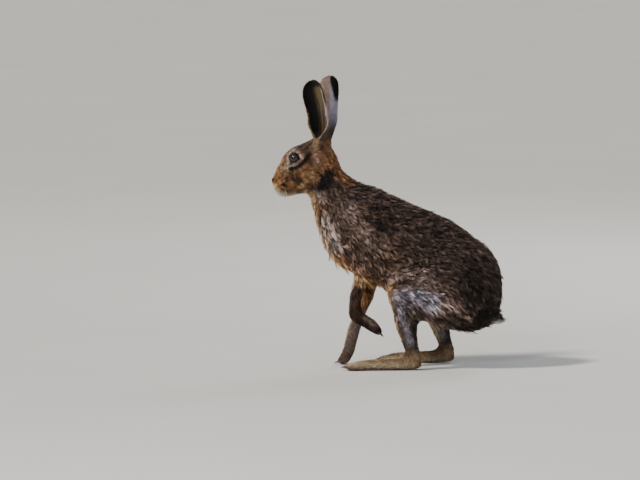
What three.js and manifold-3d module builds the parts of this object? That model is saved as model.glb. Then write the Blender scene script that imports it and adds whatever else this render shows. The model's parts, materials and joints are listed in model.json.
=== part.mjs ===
// A brown hare (Lepus europaeus), life size, standing with its left forepaw lifted.
// Millimetres, +Z up. The hare looks along -X, and its left side is at -Y.
// The flesh is one soft form: strands of muscle between named joints, blended together.
// Each length of the body is a capsule wrapped out to the flesh, and planes divide it into parts.
import * as THREE from "three";
import { mergeVertices } from "three/addons/utils/BufferGeometryUtils.js";
import Module from "manifold-3d";

const wasm = await Module();
wasm.setup();

// Driving sizes
const GAP = 0.3; // between two parts that touch
const FOOT_SIDE = 50; // from the middle of the body out to each hind foot
const HAND_SIDE = 30; // and to each forepaw
const THIGH_SIDE = 33; // and to the cut between the trunk and each haunch
const STRIDE = 56; // how far the right hind foot stands behind the left one
const EYE_RADIUS = 8.6;
const LID = 1.4; // thickness of the eyelids
const UPPER_LID = 0.86; // radians from the middle of the eye up to the edge of the lid
const LOWER_LID = 0.8;
const EAR_WIDTH = 49; // of an ear laid flat
const EAR_THICKNESS = 3;
const TOE_RADIUS = 6.2;
const CLAW_LENGTH = 9;
const CLAW_RADIUS = 1.6;
const NOSTRIL = 2; // radius of each nostril
const LIP_LINE = 1; // and of the grooves of the mouth and the split upper lip
const CLEFT = 0.9;
const LOCK_ROWS = 8; // of locks down the breast
const LOCKS_IN_ROW = 5;
const TAIL_LOCKS = 9;
const LOCK_ROOTED = 5; // how deep a lock starts under the skin
const LOCK_THICKNESS = 2.6; // at its root
const LOCK_TIP = 0.7; // and at its tip

// Colours of the coat, part by part
const COAT = {
  head: 0x7d5a38,
  ear: 0x4a3c30,
  neck: 0x6f4a2c,
  chest: 0x5a4433,
  torso: 0x47382e,
  haunch: 0x51443c,
  tail: 0x2b241f,
  shank: 0x6b5038,
  foreleg: 0x6e4a30,
  forepaw: 0x5d4230,
  hindFoot: 0x8a6c4c,
};

const at = (x, y, z) => new THREE.Vector3(x, y, z);
const towards = (x, y, z) => at(x, y, z).normalize();
const { lerp, clamp, smoothstep, degToRad } = THREE.MathUtils;
// Random numbers from 0 to 1 that come out the same each time
function seeded(seed) {
  let state = seed;
  return () => {
    state = (state * 16807) % 2147483647;
    return state / 2147483647;
  };
}
const left = { name: "left", side: -1, back: 0 };
const right = { name: "right", side: 1, back: STRIDE };

// THE FLESH
// A joint of a strand: its place, its radius seen from the side, and its width as a share of that.
const joint = (x, y, z, radius, wide = 1) => ({ place: at(x, y, z), radius, wide });

const trunk = [
  joint(-112, 0, 338, 31, 0.86),
  joint(-104, 0, 307, 35, 0.84),
  joint(-72, 0, 262, 52, 0.8),
  joint(-43, 0, 231, 73, 0.66),
  joint(10, 0, 203, 75, 0.74),
  joint(62, 0, 177, 80, 0.67),
  joint(110, 0, 144, 79, 0.7),
];
const skull = [
  joint(-121, 0, 345, 32, 0.84),
  joint(-147, 0, 333, 31, 0.76),
  joint(-161, 0, 320, 25, 0.8),
  joint(-172, 0, 308, 19.5, 0.94),
];
const jaw = [
  joint(-126, 0, 314, 24, 0.84),
  joint(-150, 0, 303, 18.5, 0.9),
  joint(-171, 0, 295, 14.5, 0.93),
];
const dock = [
  joint(134, 0, 82, 16, 1.3),
  joint(160, 0, 79, 14, 1.45),
  joint(178, 0, 76, 8, 1.7),
];
const cheek = (side) => [joint(-140, side * 12, 314, 19, 0.82), joint(-128, side * 14, 322, 18, 0.84)];
const brow = (side) => [joint(-155, side * 15, 357, 7), joint(-141, side * 17, 359, 8.5)];
const whiskerPad = (side) => [joint(-176, side * 8, 303, 11), joint(-168, side * 9, 302, 11)];
// The right ear is held a little further back than the left one.
const earRoots = {
  left: [joint(-118, -12, 352, 13), joint(-116, -13, 377, 10.5)],
  right: [joint(-110, 11, 350, 14), joint(-103, 13, 378, 11)],
};

const haunch = ({ side, back }) => [
  joint(134, side * 27, 112, 53, 0.6),
  joint(95 + 0.35 * back, side * 41, 118, 51, 0.6),
  joint(60 + 0.6 * back, side * 46, 122, 42, 0.6),
  joint(24 + 0.85 * back, side * 48, 132, 26, 0.72),
];
const shank = ({ side, back }) => [
  joint(22 + 0.85 * back, side * FOOT_SIDE, 124, 27, 0.78),
  joint(27 + 0.92 * back, side * FOOT_SIDE, 88, 21, 0.74),
  joint(32 + 0.97 * back, side * FOOT_SIDE, 62, 16.5, 0.78),
  joint(38 + back, side * FOOT_SIDE, 38, 12.5, 0.84),
  joint(45 + back, side * FOOT_SIDE, 20, 11, 1),
];
const hindFoot = ({ side, back }) => [
  joint(48 + back, side * FOOT_SIDE, 11, 11, 0.95),
  joint(20 + back, side * (FOOT_SIDE + 1), 10, 11.5, 1.05),
  joint(-30 + back, side * (FOOT_SIDE + 2), 8, 10.5, 1.25),
  joint(-52 + back, side * (FOOT_SIDE + 3), 6, 9.5, 1.5),
];

// The left forepaw is lifted and hangs back from its wrist, and the right one stands.
const shoulder = ({ side }) => [joint(-56, side * 32, 236, 34, 0.58), joint(-17, side * 36, 188, 27, 0.62)];
const foreleg = {
  left: [
    joint(-20, -36, 190, 24, 0.66),
    joint(-46, -33, 147, 13.5, 0.95),
    joint(-54, -31, 119, 10.5, 0.95),
    joint(-55, -HAND_SIDE, 92, 11, 0.95),
  ],
  right: [
    joint(-14, 36, 186, 24, 0.66),
    joint(-31, 33, 122, 12.5, 0.95),
    joint(-45, 31, 88, 10.5, 0.95),
    joint(-56, HAND_SIDE, 58, 11, 0.95),
  ],
};
const forepaw = {
  left: [
    joint(-53, -HAND_SIDE, 87, 11.5, 0.95),
    joint(-31, -HAND_SIDE, 75, 11.5, 1),
    joint(-18, -HAND_SIDE, 64, 9, 1.15),
  ],
  right: [
    joint(-58, HAND_SIDE, 50, 11, 0.95),
    joint(-65, HAND_SIDE, 20, 10.5, 1.05),
    joint(-72, HAND_SIDE, 9, 9, 1.3),
  ],
};

// The strands, each with the width of the fold that joins it to the ones before it
const trunkStrands = [
  [trunk, 1],
  [haunch(left), 26],
  [haunch(right), 26],
  [shoulder(left), 20],
  [shoulder(right), 20],
];
const otherStrands = [[skull, 14], [jaw, 10], [dock, 8]];
for (const { name, side, back } of [left, right]) {
  otherStrands.push([cheek(side), 12], [brow(side), 8], [whiskerPad(side), 6], [earRoots[name], 5]);
  otherStrands.push([shank({ side, back }), 12], [hindFoot({ side, back }), 8]);
  otherStrands.push([foreleg[name], 12], [forepaw[name], 5]);
}

// Distance from a point to one strand, negative inside
const along = at(0, 0, 0);
const from = at(0, 0, 0);
function strandDistance(p, joints) {
  let least = Infinity;
  for (let i = 0; i + 1 < joints.length; i++) {
    const a = joints[i];
    const b = joints[i + 1];
    along.subVectors(b.place, a.place);
    from.subVectors(p, a.place);
    const t = clamp(from.dot(along) / along.lengthSq(), 0, 1);
    from.addScaledVector(along, -t);
    from.y /= lerp(a.wide, b.wide, t);
    least = Math.min(least, from.length() - lerp(a.radius, b.radius, t));
  }
  return least;
}

// Two distances joined by a soft fold as wide as blend
function softly(a, b, blend) {
  const h = Math.max(blend - Math.abs(a - b), 0) / blend;
  return Math.min(a, b) - h * h * blend * 0.25;
}
const FAR_AWAY = 1e3;
const blended = (strands) => (p) =>
  strands.reduce((d, [joints, blend]) => softly(d, strandDistance(p, joints), blend), FAR_AWAY);
const trunkFlesh = blended(trunkStrands);
const flesh = blended([...trunkStrands, ...otherStrands]);

// How far a line from inside the flesh runs before it leaves, up to a limit
const STEP = 2;
const HALVINGS = 12;
function wayOut(root, way, { limit = 90, depth = 0, field = flesh } = {}) {
  const inside = (far) => field(root.clone().addScaledVector(way, far)) < -depth;
  let near = 0.5;
  while (near < limit && inside(near + STEP)) near += STEP;
  let far = near + STEP;
  for (let k = 0; k < HALVINGS; k++) {
    const half = (near + far) / 2;
    if (inside(half)) near = half;
    else far = half;
  }
  return Math.min(near, limit);
}
const skinPoint = (root, way) => root.clone().addScaledVector(way, wayOut(root, way));

// SOLIDS
function solidOf(geometry) {
  const bare = geometry.clone();
  bare.deleteAttribute("normal");
  bare.deleteAttribute("uv");
  const merged = mergeVertices(bare, 1e-3);
  return new wasm.Manifold(
    new wasm.Mesh({
      numProp: 3,
      vertProperties: new Float32Array(merged.attributes.position.array),
      triVerts: new Uint32Array(merged.index.array),
    }),
  );
}
const joined = (solids) => solids.reduce((whole, one) => whole.add(one));
const largest = (solid) => solid.decompose().sort((a, b) => b.volume() - a.volume())[0];
const rotation = (axis, way) => new THREE.Quaternion().setFromUnitVectors(axis, way);
const moveTo = (geometry, { x, y, z }) => geometry.translate(x, y, z);
function ball(place, radius, sides, [x, y, z] = [1, 1, 1]) {
  return solidOf(moveTo(new THREE.SphereGeometry(radius, sides, sides / 2).scale(x, y, z), place));
}

// A trim plane: a point on it, and the way it faces. What it keeps lies behind it.
const plane = (x, y, z, nx, ny, nz) => ({ place: at(x, y, z), facing: towards(nx, ny, nz) });
const turned = ({ place, facing }) => ({ place, facing: facing.clone().negate() });
const moved = ({ place, facing }, far) => ({ place: place.clone().addScaledVector(facing, far), facing });
const beyond = (cut) => moved(turned(cut), -GAP); // keeps what the cut trims away, less the gap
const outside = (side, y) => plane(0, side * y, 0, 0, -side, 0); // keeps what lies further out than y

const BLOCK = 900;
function halfSpace({ place, facing }) {
  const box = new THREE.BoxGeometry(BLOCK, BLOCK, BLOCK).translate(0, 0, -BLOCK / 2);
  return solidOf(moveTo(box.applyQuaternion(rotation(at(0, 0, 1), facing)), place));
}
const trimmed = (solid, planes) => planes.reduce((rest, cut) => rest.intersect(halfSpace(cut)), solid);
const region = (planes) => trimmed(halfSpace(planes[0]), planes.slice(1));

// A capsule bent along a bone, with each point pulled out to where the flesh ends.
// It goes no further out than reach, given for the bone's two ends, and its first part
// may lie sunk below the skin, where it joins a larger form.
function wrapped({ bone, rings, sides, caps, reach, sunk = 0, field = flesh }) {
  const path = new THREE.CatmullRomCurve3(bone);
  const length = path.getLength();
  const geometry = new THREE.CapsuleGeometry(1, length, caps, sides, rings);
  const points = geometry.attributes.position;
  for (let i = 0; i < points.count; i++) {
    const round = new THREE.Vector3().fromBufferAttribute(points, i);
    const down = clamp(round.y, -length / 2, length / 2);
    const station = down / length + 0.5;
    const ahead = path.getTangentAt(station);
    const aside = at(0, 1, 0).addScaledVector(ahead, -ahead.y).normalize();
    const above = new THREE.Vector3().crossVectors(aside, ahead);
    const way = aside.multiplyScalar(round.x).addScaledVector(ahead, round.y - down);
    way.addScaledVector(above, round.z).normalize();
    const root = path.getPointAt(station);
    const limit = lerp(reach[0], reach[1], station);
    const depth = sunk * (1 - smoothstep(station, 0.25, 0.5));
    root.addScaledVector(way, wayOut(root, way, { limit, depth, field }));
    points.setXYZ(i, root.x, root.y, root.z);
  }
  return solidOf(geometry);
}

// A sheet of rows and columns given two faces, its edges closed all round
function thickSheet(rows, columns, point) {
  const positions = [];
  const index = [];
  const layer = (rows + 1) * (columns + 1);
  const corner = (face, row, column) => face * layer + row * (columns + 1) + column;
  for (const face of [0, 1])
    for (let row = 0; row <= rows; row++)
      for (let column = 0; column <= columns; column++) {
        const { x, y, z } = point(row / rows, column / columns, face);
        positions.push(x, y, z);
      }
  const quad = (a, b, c, d) => index.push(a, b, c, a, c, d);
  for (let row = 0; row < rows; row++)
    for (let column = 0; column < columns; column++) {
      const [a, b] = [corner(0, row, column), corner(0, row, column + 1)];
      const [c, d] = [corner(0, row + 1, column + 1), corner(0, row + 1, column)];
      quad(a, b, c, d);
      quad(d + layer, c + layer, b + layer, a + layer);
    }
  for (let row = 0; row < rows; row++)
    for (const column of [0, columns]) {
      const [a, b] = [corner(0, row, column), corner(0, row + 1, column)];
      if (column === 0) quad(a, b, b + layer, a + layer);
      else quad(b, a, a + layer, b + layer);
    }
  for (let column = 0; column < columns; column++)
    for (const row of [0, rows]) {
      const [a, b] = [corner(0, row, column), corner(0, row, column + 1)];
      if (row === 0) quad(b, a, a + layer, b + layer);
      else quad(a, b, b + layer, a + layer);
    }
  const geometry = new THREE.BufferGeometry();
  geometry.setAttribute("position", new THREE.Float32BufferAttribute(positions, 3));
  return solidOf(geometry.setIndex(index));
}

// WHERE THE PARTS MEET
const floor = plane(0, 0, 0, 0, 0, -1);
const headBack = plane(-112, 0, 326, 0.85, 0, -0.53);
const neckBack = plane(-93, 0, 290, 0.56, 0, -0.83);
const earSeat = plane(0, 0, 382, 0, 0, -1);
const chestBack = plane(8, 0, 205, 0.96, 0, -0.285);
const ankle = plane(0, 0, 27, 0, 0, 1);
const elbow = { left: plane(-41, 0, 146, 0.43, 0, 0.9), right: plane(-30, 0, 141, 0.43, 0, 0.9) };
const wrist = { left: plane(-48, 0, 88, -0.578, 0, 0.816), right: plane(-57, 0, 55, 0.2, 0, 0.97) };
const tailRegion = [
  plane(158, 0, 0, -1, 0, 0),
  plane(165, 0, 94, 0.1, 0, 0.99),
  plane(0, THIGH_SIDE - GAP, 0, 0, 1, 0),
  plane(0, GAP - THIGH_SIDE, 0, 0, -1, 0),
];
const foreRegion = ({ name, side }) => [outside(side, 8), plane(4, 0, 0, 1, 0, 0), elbow[name]];
const kneeAt = ({ back }) => plane(24 + 0.85 * back, 0, 101, -0.656, 0, -0.755);
const shankRegion = ({ side, back }) => [
  outside(side, 24),
  plane(-20 + 0.85 * back, 0, 0, -1, 0, 0),
  beyond(kneeAt({ back })),
];
const haunchRegion = ({ side, back }) => [
  outside(side, THIGH_SIDE),
  plane(80, 0, 176, -0.1, 0, 0.995),
  plane(2 + 0.85 * back, 0, 160, -0.64, 0, 0.77),
  plane(-3 + 0.85 * back, 0, 0, -1, 0, 0),
  kneeAt({ back }),
];

// THE PARTS
const hare = new THREE.Group();
const fur = (color) => new THREE.MeshStandardMaterial({ color, roughness: 0.9, metalness: 0 });
function add(name, solid, material) {
  const { vertProperties, triVerts } = largest(solid).getMesh();
  const geometry = new THREE.BufferGeometry();
  geometry.setAttribute("position", new THREE.BufferAttribute(vertProperties, 3));
  geometry.setIndex(new THREE.BufferAttribute(triVerts, 1));
  const mesh = new THREE.Mesh(geometry, material);
  mesh.name = name;
  hare.add(mesh);
}

// Shaggy fur: flat tapered locks that lie along the coat, overlap and lift at their tips.
// root is on the skin, out the way off it, and lie the way the hair runs.
function lockOfFur({ root, out, lie, length, width, lift }) {
  const rows = 3;
  const side = new THREE.Vector3().crossVectors(lie, out).normalize();
  return thickSheet(rows, 1, (s, across, face) => {
    const wide = width * lerp(0.08, 1, Math.sqrt(1 - s * s));
    const thick = lerp(LOCK_THICKNESS, LOCK_TIP, s);
    const height = lerp(-LOCK_ROOTED, lift, Math.sin((Math.PI / 2) * s)) + (0.5 - face) * thick;
    return root
      .clone()
      .addScaledVector(lie, length * (s - 0.15))
      .addScaledVector(out, height)
      .addScaledVector(side, (across - 0.5) * wide);
  });
}

// The breast hangs in rows of locks from the throat down between the forelegs.
function breastLocks() {
  const random = seeded(7);
  const locks = [];
  for (let row = 0; row < LOCK_ROWS; row++)
    for (let k = 0; k < LOCKS_IN_ROW; k++) {
      const s = (row + 0.5 * random()) / LOCK_ROWS;
      const down = degToRad(lerp(198, 258, s));
      const place = (k + 0.25 + 0.5 * (row % 2) + 0.2 * (random() - 0.5)) / LOCKS_IN_ROW;
      const aside = degToRad(lerp(66, 44, s) * (2 * place - 1));
      const inside = at(lerp(-94, -48, s), 0, lerp(282, 214, s));
      const front = Math.cos(aside);
      const out = towards(front * Math.cos(down), Math.sin(aside), front * Math.sin(down));
      const fall = at(-Math.sin(down), 0.35 * (random() - 0.5), Math.cos(down));
      const lie = fall.addScaledVector(out, -fall.dot(out)).normalize();
      const root = skinPoint(inside, out);
      const length = lerp(26, 36, random());
      const width = lerp(9, 13, random());
      const lift = lerp(5, 9, random());
      locks.push(lockOfFur({ root, out, lie, length, width, lift }));
    }
  return locks;
}

// The tail ends in a tuft, whose locks stand round the end of the dock.
function tailLocks() {
  const random = seeded(11);
  const locks = [];
  for (let k = 0; k < TAIL_LOCKS; k++) {
    const round = (2 * Math.PI * (k + 0.5 * random())) / TAIL_LOCKS;
    const out = towards(0, Math.cos(round), Math.sin(round));
    const root = at(172 + 5 * random(), 13 * out.y, 77 + 7 * out.z);
    const lie = towards(0.95, 0, -0.12).addScaledVector(out, -0.25).normalize();
    const length = lerp(18, 22, random());
    const width = lerp(8, 11, random());
    locks.push(lockOfFur({ root, out, lie, length, width, lift: 1 }));
  }
  return locks;
}

// The trunk from the head to the rump, with the haunches and shoulders, is one wrap.
function trunkSolid() {
  const bone = [[-112, 322], [-86, 280], [-48, 224], [20, 190], [80, 160], [128, 128]];
  return wrapped({
    bone: bone.map(([x, z]) => at(x, 0, z)),
    rings: 26,
    sides: 32,
    caps: 7,
    reach: [60, 130],
    field: trunkFlesh,
  });
}
const dockSolid = () =>
  wrapped({ bone: [at(116, 0, 86), at(176, 0, 76)], rings: 8, sides: 20, caps: 3, reach: [30, 30], sunk: 3 });
function shankSolid({ side, back }) {
  const shin = [[26 + 0.85 * back, 126], [26 + 0.92 * back, 90], [33 + 0.97 * back, 60], [42 + back, 22]];
  const bone = shin.map(([x, z]) => at(x, side * FOOT_SIDE, z));
  return wrapped({ bone, rings: 10, sides: 14, caps: 3, reach: [34, 20], sunk: 3 });
}
function forelegSolid({ name }) {
  const bone = foreleg[name].map(({ place }) => place);
  return wrapped({ bone, rings: 10, sides: 14, caps: 3, reach: [26, 14], sunk: 4 });
}

// Neck, chest, torso, haunches, shanks, forelegs and tail are divided out of one body.
function addBody() {
  const halves = [left, right];
  const trunkWrap = trunkSolid();
  const limbs = [dockSolid(), ...halves.map(shankSolid), ...halves.map(forelegSolid)];
  const body = joined([trunkWrap, ...limbs, ...breastLocks(), ...tailLocks()]);
  const without = (solid, regions) =>
    regions.reduce((rest, planes) => rest.subtract(region(planes.map((cut) => moved(cut, GAP)))), solid);
  const foreRegions = halves.map(foreRegion);
  const hindRegions = halves.flatMap((half) => [haunchRegion(half), shankRegion(half)]);
  add("neck", trimmed(trunkWrap, [beyond(headBack), neckBack]), fur(COAT.neck));
  const chest = trimmed(body, [beyond(neckBack), chestBack]);
  add("chest", without(chest, foreRegions), fur(COAT.chest));
  const rump = trimmed(body, [beyond(chestBack)]);
  add("torso", without(rump, [tailRegion, ...foreRegions, ...hindRegions]), fur(COAT.torso));
  add("tail", trimmed(body, tailRegion), fur(COAT.tail));
  for (const half of halves) {
    const { name } = half;
    add("haunch_" + name, trimmed(body, haunchRegion(half)), fur(COAT.haunch));
    add("shank_" + name, trimmed(body, [...shankRegion(half), beyond(ankle)]), fur(COAT.shank));
    const arm = trimmed(body, [...foreRegion(half), beyond(wrist[name])]);
    add("foreleg_" + name, arm, fur(COAT.foreleg));
  }
}

// Four toes side by side, each a blunt capsule with a claw
function toes({ middle, ahead, spread, length }) {
  const solids = [];
  for (const place of [-1.5, -0.5, 0.5, 1.5]) {
    const way = ahead.clone().addScaledVector(at(0, 1, 0), 0.07 * place).normalize();
    const root = middle.clone().addScaledVector(ahead, -4 * Math.abs(place));
    root.y += place * spread;
    const turn = rotation(at(0, 1, 0), way);
    const toe = new THREE.CapsuleGeometry(TOE_RADIUS, length, 2, 6, 1).scale(0.8, 1, 1.05);
    solids.push(solidOf(moveTo(toe.applyQuaternion(turn), root)));
    const claw = new THREE.ConeGeometry(CLAW_RADIUS, CLAW_LENGTH, 4);
    const tip = root.clone().addScaledVector(way, length / 2 + TOE_RADIUS + 0.2 * CLAW_LENGTH);
    solids.push(solidOf(moveTo(claw.applyQuaternion(turn), tip)));
  }
  return solids;
}

function addHindFoot({ name, side, back }) {
  const bone = [[43, 0, 30], [44, 0, 18], [34, 0.5, 11], [0, 2, 9], [-50, 3, 7]];
  const footBone = bone.map(([x, out, z]) => at(x + back, side * (FOOT_SIDE + out), z));
  const foot = wrapped({ bone: footBone, rings: 15, sides: 14, caps: 3, reach: [26, 24] });
  const hindToes = toes({
    middle: at(-60 + back, side * (FOOT_SIDE + 3), 6),
    ahead: at(-1, 0, 0),
    spread: 8,
    length: 18,
  });
  add("hind_foot_" + name, trimmed(foot.add(joined(hindToes)), [ankle, floor]), fur(COAT.hindFoot));
}

function addForepaw({ name }) {
  const bone = [foreleg[name].at(-1), ...forepaw[name]].map(({ place }) => place);
  const paw = wrapped({ bone, rings: 6, sides: 12, caps: 3, reach: [14, 20] });
  const lifted = name === "left";
  const foreToes = toes({
    middle: lifted ? at(-16, -HAND_SIDE, 62) : at(-76, HAND_SIDE, 6.5),
    ahead: lifted ? towards(0.74, 0, -0.67) : towards(-0.9, 0, -0.25),
    spread: 6.5,
    length: 9,
  });
  add("forepaw_" + name, trimmed(paw.add(joined(foreToes)), [wrist[name], floor]), fur(COAT.forepaw));
}

// A round cord of the given radius along points on the skin, to cut a line there
function cord(points, radius) {
  const extrudePath = new THREE.CatmullRomCurve3(points);
  const round = new THREE.Shape().absarc(0, 0, radius, 0, 2 * Math.PI);
  const options = { extrudePath, steps: 2 * points.length, curveSegments: 3, bevelEnabled: false };
  return solidOf(new THREE.ExtrudeGeometry(round, options));
}

// Lids round each eye, with the socket behind them and the opening between their edges
const eyePlace = (side) => at(-154, side * 18.2, 348);
function withEyelids(solid, side) {
  const centre = eyePlace(side);
  const eyeUp = towards(-0.25, 0, 0.97);
  const outward = towards(-0.2, side, 0.1);
  const lidPlane = (tilt) => ({
    place: centre,
    facing: eyeUp.clone().multiplyScalar(Math.cos(tilt)).addScaledVector(outward, -Math.sin(tilt)),
  });
  const opening = region([lidPlane(UPPER_LID), turned(lidPlane(-LOWER_LID))]);
  const lids = ball(centre, EYE_RADIUS + LID, 16, [1.05, 1, 1]).subtract(opening);
  return solid.add(lids).subtract(ball(centre, EYE_RADIUS + GAP, 16));
}

// The nostrils, the line of the mouth and the cleft of the upper lip, cut into the muzzle
function withMuzzle(solid) {
  const nostrils = [-1, 1].map((side) => {
    const place = skinPoint(at(-178, side * 3, 309), towards(-1, side * 0.45, 0.1));
    return ball(place, NOSTRIL, 8, [1.1, 0.7, 1.4]);
  });
  const lipLine = [-78, -52, -26, 0, 26, 52, 78].map((turn) => {
    const a = degToRad(turn);
    const way = towards(-Math.cos(a), Math.sin(a), -0.12 - 0.1 * Math.sin(a) ** 2);
    return skinPoint(at(-170, 0, 294), way);
  });
  const cleft = [304, 300, 296, 292].map((z) => skinPoint(at(-172, 0, z), towards(-1, 0, 0)));
  return solid.subtract(joined([...nostrils, cord(lipLine, LIP_LINE), cord(cleft, CLEFT)]));
}

// An ear: a sheet rolled into a tube at its root and opening into a cup towards its tip.
// Its spine runs up the middle of its back, and opening is the way the cup faces. Spread is the
// turn in degrees from the middle of the back to each edge, once the cup is open.
const EAR_TIP = 0.72; // where the sides begin to draw in
function earShell({ spine, opening, spread }) {
  const middle = new THREE.CatmullRomCurve3(spine);
  return thickSheet(15, 8, (s, across, face) => {
    const up = middle.getTangentAt(s);
    const back = opening.clone().addScaledVector(up, -opening.dot(up)).normalize().negate();
    const aside = new THREE.Vector3().crossVectors(up, back);
    const drawnIn = s < EAR_TIP ? 1 : Math.sqrt(Math.max(0.03, 1 - ((s - EAR_TIP) / (1 - EAR_TIP)) ** 2.2));
    const fold = degToRad(lerp(176, spread, smoothstep(s, 0.02, 0.4)) - 40 * Math.max(s - 0.5, 0));
    const radius = (EAR_WIDTH * lerp(0.78, 1, smoothstep(s, 0, 0.22))) / (2 * fold);
    const angle = (2 * across - 1) * fold * drawnIn * lerp(0.98, 1.05, Math.sin(Math.PI * s));
    const reached = radius + (0.5 - face) * EAR_THICKNESS;
    return middle
      .getPointAt(s)
      .addScaledVector(back, reached * Math.cos(angle) - radius)
      .addScaledVector(aside, reached * Math.sin(angle));
  });
}
const ears = {
  left: {
    spine: [at(-113, -5, 368), at(-111, -8, 402), at(-115, -12, 432), at(-121, -15, 456), at(-124, -17, 477)],
    opening: towards(-0.3, -1, 0),
    spread: 76,
  },
  right: {
    spine: [at(-101, 5, 368), at(-97, 9, 402), at(-96, 13, 440), at(-94, 18, 481)],
    opening: towards(-0.25, 1, 0),
    spread: 84,
  },
};

function addEye({ name, side }) {
  const glossy = new THREE.MeshStandardMaterial({ color: 0x2a1508, roughness: 0.06, metalness: 0 });
  add("eye_" + name, ball(eyePlace(side), EYE_RADIUS, 14), glossy);
}

function earRoot({ name, side }) {
  const bone = earRoots[name].map(({ place }) => place);
  const root = wrapped({ bone, rings: 4, sides: 14, caps: 3, reach: [15, 15] });
  return trimmed(root, [outside(side, 1)]);
}
function addEar(half) {
  const { name } = half;
  const ear = earRoot(half).add(earShell(ears[name]));
  add("ear_" + name, trimmed(ear, [earSeat]), fur(COAT.ear));
}

function addHead() {
  const bone = [at(-164, 0, 312), at(-145, 0, 324), at(-124, 0, 338)];
  const skullWrap = wrapped({ bone, rings: 13, sides: 32, caps: 8, reach: [60, 56] });
  const bare = trimmed(joined([skullWrap, earRoot(left), earRoot(right)]), [headBack, beyond(earSeat)]);
  const head = withMuzzle(withEyelids(withEyelids(bare, -1), 1));
  add("head", head, fur(COAT.head));
}

addHead();
addBody();
for (const half of [left, right]) {
  addEar(half);
  addEye(half);
  addHindFoot(half);
  addForepaw(half);
}

// The middle of the floor under the hare becomes the origin.
const bounds = new THREE.Box3().setFromObject(hare);
const middle = bounds.getCenter(at(0, 0, 0));
for (const { geometry } of hare.children) geometry.translate(-middle.x, -middle.y, -bounds.min.z);

export default hare;
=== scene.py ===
# %% [markdown]
# # A brown hare
# A life-size museum model of a hare that has stopped with one forepaw lifted.
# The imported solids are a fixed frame: they say where each part of the body is and how far the coat
# reaches. This lesson dresses them. One skin is drawn over all the flesh, the coat is set into it
# tuft by tuft, and the eyes, lids, whiskers and claws are made as the small separate things they are.
# The hare looks along -X, its left side is at -Y, and +Z is up. Everything is in metres.

# %% Load the frame
import json
import math
import bmesh
import bpy
import numpy as np
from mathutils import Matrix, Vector
from mathutils.bvhtree import BVHTree
from mathutils.kdtree import KDTree


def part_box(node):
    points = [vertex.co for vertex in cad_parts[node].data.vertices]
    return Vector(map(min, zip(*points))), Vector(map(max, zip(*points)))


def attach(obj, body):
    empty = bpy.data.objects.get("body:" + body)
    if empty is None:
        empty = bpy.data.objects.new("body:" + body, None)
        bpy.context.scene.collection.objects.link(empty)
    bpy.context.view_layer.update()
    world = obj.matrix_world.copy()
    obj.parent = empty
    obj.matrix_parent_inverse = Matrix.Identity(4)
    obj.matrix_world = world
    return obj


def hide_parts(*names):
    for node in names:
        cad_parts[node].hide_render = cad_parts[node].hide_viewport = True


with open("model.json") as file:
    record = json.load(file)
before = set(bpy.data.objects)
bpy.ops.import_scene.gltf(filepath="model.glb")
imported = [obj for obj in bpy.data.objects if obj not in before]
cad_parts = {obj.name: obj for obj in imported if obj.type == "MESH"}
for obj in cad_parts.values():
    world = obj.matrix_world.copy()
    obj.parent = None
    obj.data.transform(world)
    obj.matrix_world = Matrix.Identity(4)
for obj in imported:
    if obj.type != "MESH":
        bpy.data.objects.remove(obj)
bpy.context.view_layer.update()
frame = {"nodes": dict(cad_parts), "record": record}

MM = 0.001
SIDES = {-1: "left", 1: "right"}  # by the sign of y
random = np.random.default_rng(41)

# %% [markdown]
# ## Working with many points at once
# A coat is a hundred thousand small things, so its places are held in arrays and worked on together.
# These helpers turn a list of places into an array, give vectors a length of one, ease a number
# from 0 to 1, lay a way down along a surface, and put a soft unevenness over the body that is the
# same on every run.

# %% Array helpers
def places(rows):
    return np.array(rows, dtype=float) * MM


def unit(vectors):
    vectors = np.asarray(vectors, dtype=float)
    return vectors / np.maximum(np.linalg.norm(vectors, axis=-1, keepdims=True), 1e-12)


def ease(value, low, high):
    t = np.clip((value - low) / (high - low), 0, 1)
    return t * t * (3 - 2 * t)


def blend(a, b, t):
    return a + (b - a) * t


def along_surface(ways, normals):
    return unit(ways - normals * np.sum(ways * normals, axis=1)[:, None])


def unevenness(points, size, seed):
    """A smooth wandering value, mostly between -1 and 1, with waves of about the given size."""
    draw = np.random.default_rng(seed)
    total = np.zeros(len(points))
    for octave in range(6):
        way = unit(draw.normal(size=3)) * 2 * math.pi / (size * draw.uniform(0.6, 1.5))
        bend = unit(draw.normal(size=3)) * 2 * math.pi / (size * 2.3)
        total += np.sin(points @ way + 1.7 * np.sin(points @ bend + octave) + draw.uniform(0, 6.3))
    return total / 3


# %% [markdown]
# ## Meshes from arrays
# Blender takes vertices and faces as plain lists, which is slow for a million of them. `foreach_set`
# hands over whole arrays instead. Faces come in blocks, each with one number of corners: a block of
# quads, a block of triangles, or both.

# %% Mesh helpers
def linked(name, data):
    """A new object in the scene that holds the given mesh, light or camera."""
    piece = bpy.data.objects.new(name, data)
    bpy.context.collection.objects.link(piece)
    return piece


def mesh_object(name, points, *blocks):
    mesh = bpy.data.meshes.new(name)
    corners = np.concatenate([np.asarray(block, dtype=np.int32).ravel() for block in blocks])
    sizes = np.concatenate([np.full(len(block), np.shape(block)[1], dtype=np.int32) for block in blocks])
    starts = np.append(0, np.cumsum(sizes)[:-1]).astype(np.int32)
    mesh.vertices.add(len(points))
    mesh.vertices.foreach_set("co", np.asarray(points, dtype=np.float32).ravel())
    mesh.loops.add(len(corners))
    mesh.loops.foreach_set("vertex_index", corners)
    mesh.polygons.add(len(sizes))
    mesh.polygons.foreach_set("loop_start", starts)
    mesh.update(calc_edges=True)
    mesh.validate()
    mesh.shade_smooth()
    return linked(name, mesh)


def from_form(name, form):
    """A mesh of what bmesh has made, which is then let go."""
    mesh = bpy.data.meshes.new(name)
    form.to_mesh(mesh)
    form.free()
    return mesh


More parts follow.
